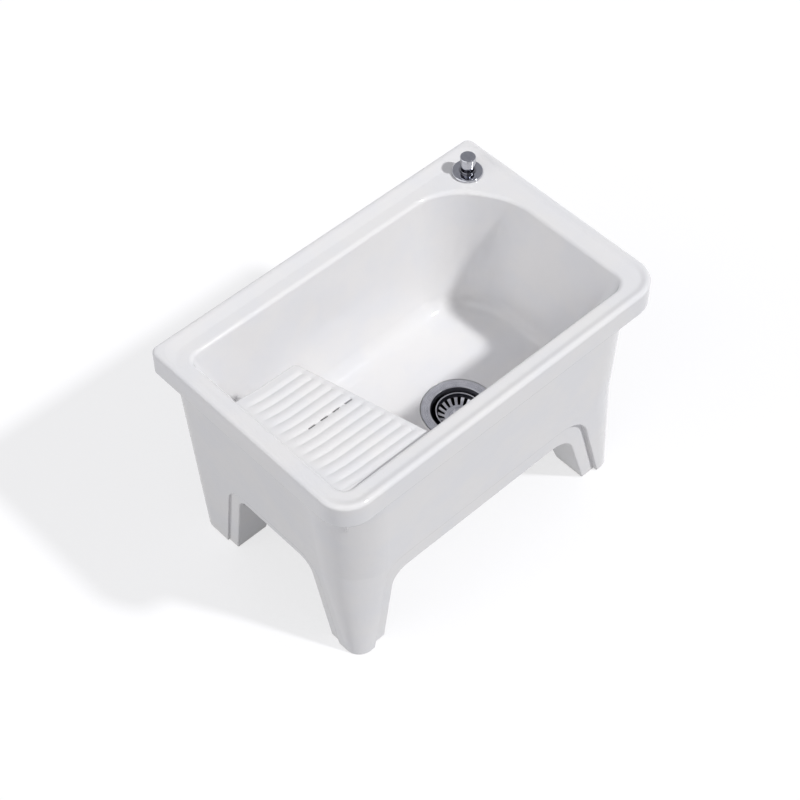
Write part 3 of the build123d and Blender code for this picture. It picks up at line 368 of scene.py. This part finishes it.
def stainless_steel(name, settings, centre, painted_shade_from=0.0, painted_shade_to=0.0):
    """Pressed and spun stainless steel: satin rings about an upright axis, grey, not mirror.

    Between two radii its colour is painted dark: painted shade, where the drain and the basket
    shade the steel.
    """
    ring_pitch, ring_depth, smear_width, painted_shade_blur = 0.0009, 0.00002, 0.012, 0.0006
    material, tree, shader = new_material(name)
    rings = turned_lines(tree, centre, ring_pitch)
    smear = ranged(tree, noise(tree, smear_width, 3.0), 0.35, 0.7)
    worn = blend_colours(tree, smear, settings.steel, settings.steel_worn)
    radius = from_axis(tree, centre)[0]
    beyond = ranged(tree, radius, painted_shade_from - painted_shade_blur, painted_shade_from)
    within = ranged(tree, radius, painted_shade_to - painted_shade_blur, painted_shade_to, 1.0, 0.0)
    film_and_painted_shade = add_node(tree, "ShaderNodeMath", {0: beyond, 1: within}, operation="MULTIPLY")
    with_painted_shade = blend_colours(tree, film_and_painted_shade.outputs[0], worn, settings.film_and_painted_shade)
    tree.links.new(with_painted_shade, shader.inputs["Base Color"])
    tree.links.new(ranged(tree, rings, *NOISE_SPAN, 0.24, 0.40), shader.inputs["Roughness"])
    tree.links.new(bump(tree, rings, ring_depth), shader.inputs["Normal"])
    shader.inputs["Metallic"].default_value = 1.0
    return material


def chrome_plate(name, settings, centre, shade_radius=0.0):
    """Bright chrome over polished brass: a dark mirror with the faintest turning rings.

    Inside the shade radius its colour is painted as dark as the knob's underside: painted shade
    under the knob, which it stands under.
    """
    ring_pitch, ring_depth, film_width, shade_blur = 0.0006, 0.000004, 0.006, 0.004
    material, tree, shader = new_material(name)
    rings = turned_lines(tree, centre, ring_pitch)
    film_and_painted_shade = ranged(tree, noise(tree, film_width, 3.0), 0.4, 0.7)
    plate = blend_colours(tree, film_and_painted_shade, settings.chrome, settings.chrome_dull)
    radius = from_axis(tree, centre)[0]
    shaded = ranged(tree, radius, shade_radius - shade_blur, shade_radius, 1.0, 0.0)
    tree.links.new(blend_colours(tree, shaded, plate, settings.film_and_painted_shade), shader.inputs["Base Color"])
    tree.links.new(ranged(tree, rings, *NOISE_SPAN, 0.05, 0.11), shader.inputs["Roughness"])
    tree.links.new(bump(tree, rings, ring_depth), shader.inputs["Normal"])
    shader.inputs["Metallic"].default_value = 1.0
    return material


def zinc_plate(settings):
    """Passivated zinc on steel: a pale blue-grey with faint yellow clouds and a soft sheen."""
    cloud_width, crystal_width, crystal_depth = 0.005, 0.0006, 0.000008
    material, tree, shader = new_material("zinc_plate_passivated")
    cloud = ranged(tree, noise(tree, cloud_width, 4.0, 0.6), 0.4, 0.65)
    tinted = blend_colours(tree, cloud, settings.zinc, settings.zinc_tint)
    tree.links.new(tinted, shader.inputs["Base Color"])
    crystal = noise(tree, crystal_width, 3.0)
    tree.links.new(ranged(tree, crystal, *NOISE_SPAN, 0.28, 0.45), shader.inputs["Roughness"])
    tree.links.new(bump(tree, crystal, crystal_depth), shader.inputs["Normal"])
    shader.inputs["Metallic"].default_value = 1.0
    return material


def turned_brass(settings, centre):
    """Free-cutting brass from the lathe: tool rings all round, warmer and duller where handled."""
    ring_pitch, ring_depth, dull_width = 0.0007, 0.00003, 0.006
    material, tree, shader = new_material("brass_turned")
    rings = turned_lines(tree, centre, ring_pitch)
    dull = ranged(tree, noise(tree, dull_width, 4.0), 0.4, 0.68)
    handled = blend_colours(tree, dull, settings.brass, settings.brass_dull)
    tree.links.new(handled, shader.inputs["Base Color"])
    tree.links.new(ranged(tree, rings, *NOISE_SPAN, 0.2, 0.36), shader.inputs["Roughness"])
    tree.links.new(bump(tree, rings, ring_depth), shader.inputs["Normal"])
    shader.inputs["Metallic"].default_value = 1.0
    return material


def moulded_rubber(settings):
    """Compression-moulded EPDM: black, matt and slightly powdery, with a pale bloom in patches."""
    bloom_width, grain_width, grain_depth = 0.004, 0.0004, 0.00002
    material, tree, shader = new_material("epdm_rubber_moulded")
    bloom = ranged(tree, noise(tree, bloom_width, 4.0, 0.6), 0.45, 0.75)
    bloomed = blend_colours(tree, bloom, settings.rubber, settings.rubber_bloom)
    tree.links.new(bloomed, shader.inputs["Base Color"])
    grain = noise(tree, grain_width, 2.0)
    tree.links.new(ranged(tree, grain, *NOISE_SPAN, 0.6, 0.78), shader.inputs["Roughness"])
    tree.links.new(bump(tree, grain, grain_depth), shader.inputs["Normal"])
    return material


def moulded_plastic(name, first, second, low_gloss, high_gloss):
    """Injection-moulded plastic: even colour, a fine sparked grain, faint flow marks."""
    flow_width, grain_width, grain_depth = 0.02, 0.0005, 0.000012
    material, tree, shader = new_material(name)
    flow = ranged(tree, noise(tree, flow_width, 2.0), 0.4, 0.62)
    tree.links.new(blend_colours(tree, flow, first, second), shader.inputs["Base Color"])
    grain = noise(tree, grain_width, 2.0)
    rough = ranged(tree, grain, *NOISE_SPAN, low_gloss, high_gloss)
    tree.links.new(rough, shader.inputs["Roughness"])
    tree.links.new(bump(tree, grain, grain_depth), shader.inputs["Normal"])
    shader.inputs["IOR"].default_value = 1.49
    return material


def finish(material, *nodes):
    """Puts a material on some CAD nodes, in every slot that they have."""
    for name in nodes:
        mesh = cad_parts[name].data
        if not mesh.materials:
            mesh.materials.append(material)
        for index in range(len(mesh.materials)):
            mesh.materials[index] = material


def studio_world(settings):
    """White where it is seen, grey above for what polished metal reflects, and an even ambient."""
    world = bpy.data.worlds.new("studio_world")
    world.use_nodes = True
    tree = world.node_tree
    tree.nodes.clear()
    ray = add_node(tree, "ShaderNodeLightPath")
    place = add_node(tree, "ShaderNodeTexCoord")
    up = add_node(tree, "ShaderNodeSeparateXYZ", {0: place.outputs["Generated"]}).outputs[2]
    # Polished metal sees white at the horizon and the grey ceiling from 40 degrees up.
    high = ranged(tree, up, 0.2, 0.66, smooth=True)
    mirrored = blend_colours(tree, high, WHITE, settings.ceiling)
    overhead = ranged(tree, up, 0.0, 0.9)
    ambient = blend_colours(tree, overhead, settings.ambient_low, settings.ambient)
    lit = blend_colours(tree, ray.outputs["Is Glossy Ray"], ambient, mirrored)
    through = add_node(
        tree,
        "ShaderNodeMath",
        {0: ray.outputs["Is Camera Ray"], 1: ray.outputs["Is Transmission Ray"]},
        operation="MAXIMUM",
    )
    seen = blend_colours(tree, through.outputs[0], lit, WHITE)
    background = add_node(tree, "ShaderNodeBackground", {"Color": seen, "Strength": 1.0})
    add_node(tree, "ShaderNodeOutputWorld", {"Surface": background.outputs[0]})
    bpy.context.scene.world = world


def studio_floor_material(settings):
    """Painted studio floor: reads white where it is seen and still takes the object's shadow."""
    material, tree, shader = new_material("studio_floor_painted")
    shader.inputs["Base Color"].default_value = settings.floor
    shader.inputs["Roughness"].default_value = 0.9
    shader.inputs["Specular IOR Level"].default_value = 0.0
    shader.inputs["Emission Color"].default_value = WHITE
    ray = add_node(tree, "ShaderNodeLightPath")
    seen = add_node(
        tree,
        "ShaderNodeMath",
        {0: ray.outputs["Is Camera Ray"], 1: ray.outputs["Is Glossy Ray"]},
        operation="MAXIMUM",
    )
    seen = add_node(
        tree, "ShaderNodeMath", {0: seen.outputs[0], 1: ray.outputs["Is Transmission Ray"]},
        operation="MAXIMUM",
    )
    glow = add_node(
        tree, "ShaderNodeMath", {0: seen.outputs[0], 1: settings.floor_glow}, operation="MULTIPLY"
    )
    tree.links.new(glow.outputs[0], shader.inputs["Emission Strength"])
    return material


def new_object(context, name, shape, material):
    """An object at the origin that takes a finished shape and its material."""
    mesh = bpy.data.meshes.new(name)
    shape.to_mesh(mesh)
    shape.free()
    mesh.materials.append(material)
    made = bpy.data.objects.new(name, mesh)
    context.scene.collection.objects.link(made)
    return made


def sun(name, strength, turn, height, width):
    """A sun lamp that shines from a direction given by its turn and its elevation."""
    lamp = bpy.data.lights.new(name, "SUN")
    lamp.energy = strength
    lamp.angle = width
    shining = bpy.data.objects.new(name, lamp)
    towards = Vector(
        (math.cos(height) * math.cos(turn), math.cos(height) * math.sin(turn), math.sin(height))
    )
    shining.rotation_euler = towards.to_track_quat("Z", "Y").to_euler()
    shining.location = towards * 3
    bpy.context.scene.collection.objects.link(shining)


class MOPSINK_OT_stage(Operator):
    """Makes the floor, the lights, the surroundings and the camera"""

    bl_idname = "mopsink.stage"
    bl_label = "Studio and Camera"
    bl_options = {"REGISTER", "UNDO"}

    def execute(self, context):
        settings = context.scene.mop_sink
        studio = settings.studio
        studio_world(studio)
        sun("key_light", studio.key, studio.key_turn, studio.key_height, studio.key_width)
        from_left = math.pi
        sun("fill_light", studio.fill, from_left, studio.fill_height, studio.fill_width)
        shape = bmesh.new()
        bmesh.ops.create_grid(shape, x_segments=1, y_segments=1, size=studio.floor_size / 2)
        floor = new_object(context, "studio_floor", shape, studio_floor_material(studio))
        self.place_camera(context, settings.camera)
        context.scene.view_settings.view_transform = "Standard"
        return {"FINISHED"}

    def place_camera(self, context, settings):
        """Looks down at the front left corner, in the directions fitted to the rim's edges."""
        back = Vector((-0.431, -0.458, 0.777)).normalized()
        right = Vector((0.728, -0.6856, 0.0)).normalized()
        right = (right - back * right.dot(back)).normalized()
        up = back.cross(right)
        target = Vector((0, 0, settings.target_height))
        lens = bpy.data.cameras.new("photo_camera")
        lens.lens = settings.lens
        lens.sensor_width = 36
        lens.clip_end = 60
        camera = bpy.data.objects.new("photo_camera", lens)
        turn = Matrix((right, up, back)).transposed().to_4x4()
        place = target + back * settings.distance
        place += right * settings.sideways + up * settings.upwards
        camera.matrix_world = Matrix.Translation(place) @ turn
        context.scene.collection.objects.link(camera)
        context.scene.camera = camera


class MOPSINK_OT_basin(Operator):
    """Glazes the one-piece ceramic sink"""

    bl_idname = "mopsink.basin"
    bl_label = "Glazed Basin"
    bl_options = {"REGISTER", "UNDO"}

    def execute(self, context):
        settings = context.scene.mop_sink.glaze
        finish(vitreous_china("vitreous_china_glazed", settings, settings.soft_edge), "basin")
        return {"FINISHED"}


def smooth_step(value, low, high):
    """0 below a range, 1 above it, and an even rise with no corners between."""
    share = min(max((value - low) / (high - low), 0.0), 1.0)
    return share * share * (3 - 2 * share)


class BoardShape:
    """The washboard's glazed top, as heights over its plan and a wrap over its free edges."""

    # How far inside the free edge a valley has its end depth, and how far inside its full depth.
    fade_end, fade_start = 0.0062, 0.0095
    # The share of its depth that a valley keeps at the wall, and how far out it has all of it.
    wall_share, wall_fade = 0.08, 0.026
    # The steepest that the wrap gets on its way down the free edge.
    steepest = math.radians(80)

    def __init__(self, board):
        self.board = board
        along = Vector((board.edge_back_x - board.edge_front_x, board.back_y - board.front_y))
        self.side_out = Vector((along.y, -along.x)).normalized()
        self.side_reach = self.side_out.dot(Vector((board.edge_back_x, board.back_y)))
        centre_y = board.back_y - board.corner
        centre_x = (self.side_reach - board.corner - self.side_out.y * centre_y) / self.side_out.x
        self.corner_centre = Vector((centre_x, centre_y))

    def inside(self, point):
        """How far a point in plan is inside the free edges, and the way out from it."""
        past = point - self.corner_centre
        to_side = past.dot(self.side_out)
        to_back = past.y
        turn = Vector((-self.side_out.y, self.side_out.x))
        if past.dot(turn) > 0 and past.x > 0:
            return self.board.corner - past.length, past.normalized()
        if to_side > to_back:
            return self.board.corner - to_side, self.side_out
        return self.board.corner - to_back, Vector((0.0, 1.0))

    def plain_height(self, x):
        """The board's height without ribs: two slopes with a soft bend between them."""
        board = self.board
        run = x - board.knee_x
        bend = board.lead_slope - board.main_slope
        if run < -board.knee_reach:
            lift = -bend * run
        elif run < board.knee_reach:
            lift = bend * (board.knee_reach - run) ** 2 / (4 * board.knee_reach)
        else:
            lift = 0.0
        return board.knee_z - board.main_slope * run + lift

    def rib_depth(self, y):
        """How far a rib's round back has fallen at a place across the ribs."""
        board = self.board
        number = (y - board.first_rib_y) / board.rib_pitch
        nearest = min(max(round(number), 0), board.rib_count - 1)
        off = abs(number - nearest) * board.rib_pitch
        if off > board.rib_pitch / 2 + board.valley:
            return 0.0
        half = board.rib_pitch / 2
        if off > half - board.valley:
            off = half - board.valley + (off - half + board.valley) / 2
        return board.rib_radius - math.sqrt(board.rib_radius**2 - off**2)

    def height(self, x, y, inside):
        """The ribbed height, with valleys that fade towards the wall and the free edge."""
        board = self.board
        depth = self.rib_depth(y)
        full = board.rib_radius - math.sqrt(board.rib_radius**2 - (board.rib_pitch / 2) ** 2)
        at_end = board.end_depth / full
        share = at_end + (1 - at_end) * smooth_step(inside, self.fade_end, self.fade_start)
        out = smooth_step(x, board.wall_x, board.wall_x + self.wall_fade)
        share *= self.wall_share + (1 - self.wall_share) * out
        return self.plain_height(x) + board.glaze_rise - share * depth

    def wrapped(self, point):
        """A point of the flat plan, laid over the top and round the free edges."""
        board = self.board
        inside, out = self.inside(point)
        top = max(inside, board.edge)
        start = point + out * (inside - top)
        z = self.height(start.x, point.y, inside)
        if inside >= board.edge:
            return Vector((point.x, point.y, z))
        run = board.edge - inside
        angle = min(run / board.edge, self.steepest)
        rest = run - board.edge * angle
        over = board.edge * math.sin(angle) + rest * math.cos(self.steepest)
        drop = board.edge * (1 - math.cos(angle)) + rest * math.sin(self.steepest)
        flat = start + out * over
        return Vector((flat.x, flat.y, z - drop))

    def slot_offset(self, point):
        """The gap to the nearest slot, below 0 inside it, its spine there and the way from it."""
        board = self.board
        best = None
        for index in range(board.slot_count):
            half = (board.slot_length - board.slot_width) / 2
            centre = board.slot_x - index * board.slot_pitch
            spine = Vector((min(max(point.x, centre - half), centre + half), board.slot_y))
            away = point - spine
            gap = away.length - board.slot_width / 2
            if best is None or gap < best[0]:
                best = (gap, spine, away)
        return best


class MOPSINK_OT_washboard(Operator):
    """Lays the glazed ribs over the board, round its free edges and into its slots"""

    bl_idname = "mopsink.washboard"
    bl_label = "Washboard Ribs"
    bl_options = {"REGISTER", "UNDO"}

    cells_across, cells_along = 130, 232
    # How far the grid runs into the walls, and how far past the free edges, to wrap them.
    buried, wrap = 0.002, 0.0085
    # How near a slot an open edge counts as its rim, and how far the rims turn down.
    rim_reach, slot_drop = 0.002, 0.004

    def execute(self, context):
        settings = context.scene.mop_sink
        shape = bmesh.new()
        bmesh.ops.create_grid(
            shape, x_segments=self.cells_across, y_segments=self.cells_along, size=0.5
        )
        outline = BoardShape(settings.board)
        self.lay_out(shape, settings.board)
        self.cut_slots(shape, outline)
        for vertex in shape.verts:
            sunk = vertex.co.z
            vertex.co = outline.wrapped(vertex.co.xy)
            vertex.co.z += sunk
        glaze = vitreous_china("vitreous_china_ribbed", settings.glaze, settings.board.valley)
        ribs = new_object(context, "washboard_ribs", shape, glaze)
        ribs.data.shade_smooth()
        # The glaze coat is a closed skin whose underside is sunk in the casting.
        coat = ribs.modifiers.new("coat", "SOLIDIFY")
        coat.thickness = settings.board.coat
        coat.offset = -1
        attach(ribs, "sink")
        return {"FINISHED"}

    def lay_out(self, shape, board):
        """Stretches the grid over the board, past its walls and far enough to wrap its edges."""
        left, front = board.wall_x - self.buried, board.front_y - self.buried
        for vertex in shape.verts:
            y = front + (vertex.co.y + 0.5) * (board.back_y + self.wrap - front)
            share = (y - board.front_y) / (board.back_y - board.front_y)
            edge_x = board.edge_front_x + share * (board.edge_back_x - board.edge_front_x)
            x = left + (vertex.co.x + 0.5) * (edge_x + self.wrap - left)
            vertex.co = (x, y, 0.0)

    def cut_slots(self, shape, outline):
        """Opens the slots, rounds their rims and turns the rims down into the board."""
        inner = [
            face for face in shape.faces if outline.slot_offset(face.calc_center_median().xy)[0] < 0
        ]
        bmesh.ops.delete(shape, geom=inner, context="FACES")
        rims = [
            edge for edge in shape.edges
            if edge.is_boundary
            and abs(outline.slot_offset(edge.verts[0].co.xy)[0]) < self.rim_reach
        ]
        for vertex in {vertex for edge in rims for vertex in edge.verts}:
            spine, away = outline.slot_offset(vertex.co.xy)[1:]
            rim = spine + away.normalized() * outline.board.slot_width / 2
            vertex.co = (rim.x, rim.y, 0.0)
        turned = bmesh.ops.extrude_edge_only(shape, edges=rims)
        for item in turned["geom"]:
            if isinstance(item, bmesh.types.BMVert):
                item.co.z -= self.slot_drop


class MOPSINK_OT_strainer(Operator):
    """Finishes the strainer cup, its screw, and the basket with its plug"""

    bl_idname = "mopsink.strainer"
    bl_label = "Strainer and Basket"
    bl_options = {"REGISTER", "UNDO"}

    def execute(self, context):
        metal = context.scene.mop_sink.metal
        # Radii that the painted shade on the steel starts or ends at. The last is past every piece.
        shoulder, cup_mouth, everywhere = 0.0308, 0.0422, 0.1
        # Painted shade inside the cup's mouth.
        spun = stainless_steel("stainless_steel_spun_shaded_cup", metal, DRAIN, 0.0, cup_mouth)
        # Painted shade all over the screw, pin, plate and nut under the basket.
        painted_shade = stainless_steel("stainless_steel_painted_shade", metal, DRAIN, 0.0, everywhere)
        bright = stainless_steel("stainless_steel_bright", metal, DRAIN)
        # Painted shade on the basket's wall from its shoulder outwards.
        pressed = stainless_steel("stainless_steel_pressed_shaded_shoulder", metal, DRAIN, shoulder, everywhere)
        finish(spun, "strainer_cup")
        finish(painted_shade, "centre_screw", "lift_pin", "stopper_plate", "stem_nut")
        finish(bright, "basket_stem")
        self.press_basket(context, pressed)
        self.roll_bead(context, bright)
        rubber = moulded_rubber(context.scene.mop_sink.plastic)
        finish(rubber, "stopper_seal", "flange_gasket", "under_seal", "pin_seal")
        return {"FINISHED"}

    def rim_middle(self, basket):
        """The middle of the rolled rim's circle."""
        return Vector((DRAIN.x, DRAIN.y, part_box("basket_bowl")[1][2] - basket.bead))

    def spin_round(self, shape, basket):
        """Spins a line of vertices into a full round and closes its seam."""
        bmesh.ops.spin(
            shape,
            geom=shape.verts[:] + shape.edges[:],
            cent=self.rim_middle(basket),
            axis=(0, 0, 1),
            angle=2 * math.pi,
            steps=basket.slot_count * basket.slot_steps,
            use_merge=True,
        )
        bmesh.ops.remove_doubles(shape, verts=shape.verts, dist=0.00001)

    def press_basket(self, context, material):
        """A steep shoulder, a sloped wall with wedge-shaped slots, and a flat middle."""
        basket = context.scene.mop_sink.basket
        # Radius, and height against the middle of the rolled rim, from there in to the stem.
        wall = [
            (basket.radius - basket.bead, 0.0),
            (basket.radius - 2 * basket.bead, -0.0028),
            (basket.slot_outer + 0.0006, -0.0058),
            (basket.slot_outer, -0.0065),
            ((basket.slot_outer + basket.slot_inner) / 2, -0.0096),
            (basket.slot_inner, -0.0121),
            (basket.floor_radius, -0.0124),
            (basket.floor_radius - 0.0008, -0.0125),
            (basket.stem_radius, -0.0125),
        ]
        middle = self.rim_middle(basket)
        shape = bmesh.new()
        corners = [shape.verts.new(middle + Vector((x, 0, z))) for x, z in wall]
        for first, second in zip(corners, corners[1:]):
            shape.edges.new((first, second))
        self.spin_round(shape, basket)
        slots = [face for face in shape.faces if self.in_slot(face, basket)]
        bmesh.ops.delete(shape, geom=slots, context="FACES")
        if sum(face.normal.z for face in shape.faces) < 0:
            bmesh.ops.reverse_faces(shape, faces=shape.faces)
        pressing = self.new_piece(context, "basket_pressing", shape, material)
        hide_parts("basket_bowl")
        sheet = pressing.modifiers.new("sheet", "SOLIDIFY")
        sheet.thickness = basket.sheet
        sheet.offset = -1
        edge = pressing.modifiers.new("edge", "BEVEL")
        edge.width = 0.0002
        edge.segments = 2
        edge.limit_method = "ANGLE"

    def in_slot(self, face, basket):
        """Whether a facet of the wall lies in one of the slots."""
        out = (face.calc_center_median() - DRAIN).xy
        if not basket.slot_inner < out.length < basket.slot_outer:
            return False
        turn = math.atan2(out.y, out.x) / (2 * math.pi) % 1
        step = turn * basket.slot_count * basket.slot_steps % basket.slot_steps
        return step < basket.slot_steps * basket.slot_share

    def roll_bead(self, context, material):
        """The rolled rim, as a ring of round section."""
        basket = context.scene.mop_sink.basket
        section = self.rim_middle(basket) + Vector((basket.radius - basket.bead, 0, 0))
        shape = bmesh.new()
        bmesh.ops.create_circle(
            shape,
            segments=12,
            radius=basket.bead,
            matrix=Matrix.Translation(section) @ Matrix.Rotation(math.pi / 2, 4, "X"),
        )
        self.spin_round(shape, basket)
        bmesh.ops.recalc_face_normals(shape, faces=shape.faces)
        self.new_piece(context, "basket_bead", shape, material)

    def new_piece(self, context, name, shape, material):
        """A smooth steel piece that rides with the basket."""
        piece = new_object(context, name, shape, material)
        piece.data.shade_smooth()
        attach(piece, "basket")
        return piece


class MOPSINK_OT_waste(Operator):
    """Finishes the moulded waste body and the lever works on it"""

    bl_idname = "mopsink.waste"
    bl_label = "Waste Body and Lever"
    bl_options = {"REGISTER", "UNDO"}

    def execute(self, context):
        settings = context.scene.mop_sink
        white = moulded_plastic(
            "polypropylene_moulded_white",
            settings.plastic.waste,
            settings.plastic.waste_shade,
            0.36,
            0.5,
        )
        finish(white, "waste_body", "gland_nut", "lifter_arm", "cable_crank")
        zinc = zinc_plate(settings.metal)
        finish(zinc, "crank_screw", "cable_bracket", "cable_adjuster", "adjuster_nut")
        finish(stainless_steel("stainless_steel_ground", settings.metal, SHAFT), "lifter_shaft")
        finish(moulded_rubber(settings.plastic), "shaft_seal")
        return {"FINISHED"}


class MOPSINK_OT_control(Operator):
    """Finishes the plated control on the deck"""

    bl_idname = "mopsink.control"
    bl_label = "Deck Control"
    bl_options = {"REGISTER", "UNDO"}

    def execute(self, context):
        settings = context.scene.mop_sink
        # Radius within which the control's body gets painted shade under the knob.
        under_knob = 0.0135
        shaded = chrome_plate("chrome_plate_shaded", settings.metal, CONTROL, under_knob)
        finish(shaded, "control_body")
        finish(chrome_plate("chrome_plate_polished", settings.metal, CONTROL), "control_knob")
        finish(zinc_plate(settings.metal), "grub_screw")
        finish(moulded_rubber(settings.plastic), "control_gasket", "spindle_seal")
        finish(turned_brass(settings.metal, CONTROL), "control_spindle")
        return {"FINISHED"}


class MOPSINK_OT_underdeck(Operator):
    """Finishes the nut, washers and cable housing under the deck"""

    bl_idname = "mopsink.underdeck"
    bl_label = "Nut and Cable Housing"
    bl_options = {"REGISTER", "UNDO"}

    def execute(self, context):
        settings = context.scene.mop_sink
        finish(moulded_rubber(settings.plastic), "deck_washer_rubber")
        finish(zinc_plate(settings.metal), "deck_washer_steel", "control_cable_gland")
        finish(turned_brass(settings.metal, CONTROL), "deck_nut")
        dark = moulded_plastic(
            "nylon_moulded_black",
            settings.plastic.housing,
            settings.plastic.housing_shade,
            0.4,
            0.55,
        )
        finish(dark, "slider_housing", "housing_cover")
        light = moulded_plastic(
            "acetal_moulded_white",
            settings.plastic.waste,
            settings.plastic.waste_shade,
            0.3,
            0.42,
        )
        finish(light, "cable_slider")
        return {"FINISHED"}


class MOPSINK_PT_panel(Panel):
    """Lists the steps that finish the mop sink"""

    bl_idname = "MOPSINK_PT_panel"
    bl_label = "Mop Sink"
    bl_space_type = "VIEW_3D"
    bl_region_type = "UI"
    bl_category = "Mop Sink"

    def draw(self, context):
        column = self.layout.column(align=True)
        for step in STEPS:
            column.operator(step.bl_idname)


STEPS = (
    MOPSINK_OT_stage,
    MOPSINK_OT_basin,
    MOPSINK_OT_washboard,
    MOPSINK_OT_strainer,
    MOPSINK_OT_waste,
    MOPSINK_OT_control,
    MOPSINK_OT_underdeck,
)
CLASSES = (
    GlazeSettings,
    MetalSettings,
    PlasticSettings,
    BoardSettings,
    BasketSettings,
    StudioSettings,
    CameraSettings,
    SinkSettings,
    *STEPS,
    MOPSINK_PT_panel,
)


def register():
    for item in CLASSES:
        bpy.utils.register_class(item)
    bpy.types.Scene.mop_sink = PointerProperty(type=SinkSettings)


def unregister():
    del bpy.types.Scene.mop_sink
    for item in reversed(CLASSES):
        bpy.utils.unregister_class(item)


def main():
    register()
    bpy.ops.mopsink.stage()
    bpy.ops.mopsink.basin()
    bpy.ops.mopsink.washboard()
    bpy.ops.mopsink.strainer()
    bpy.ops.mopsink.waste()
    bpy.ops.mopsink.control()
    bpy.ops.mopsink.underdeck()


if __name__ == "__main__":
    main()
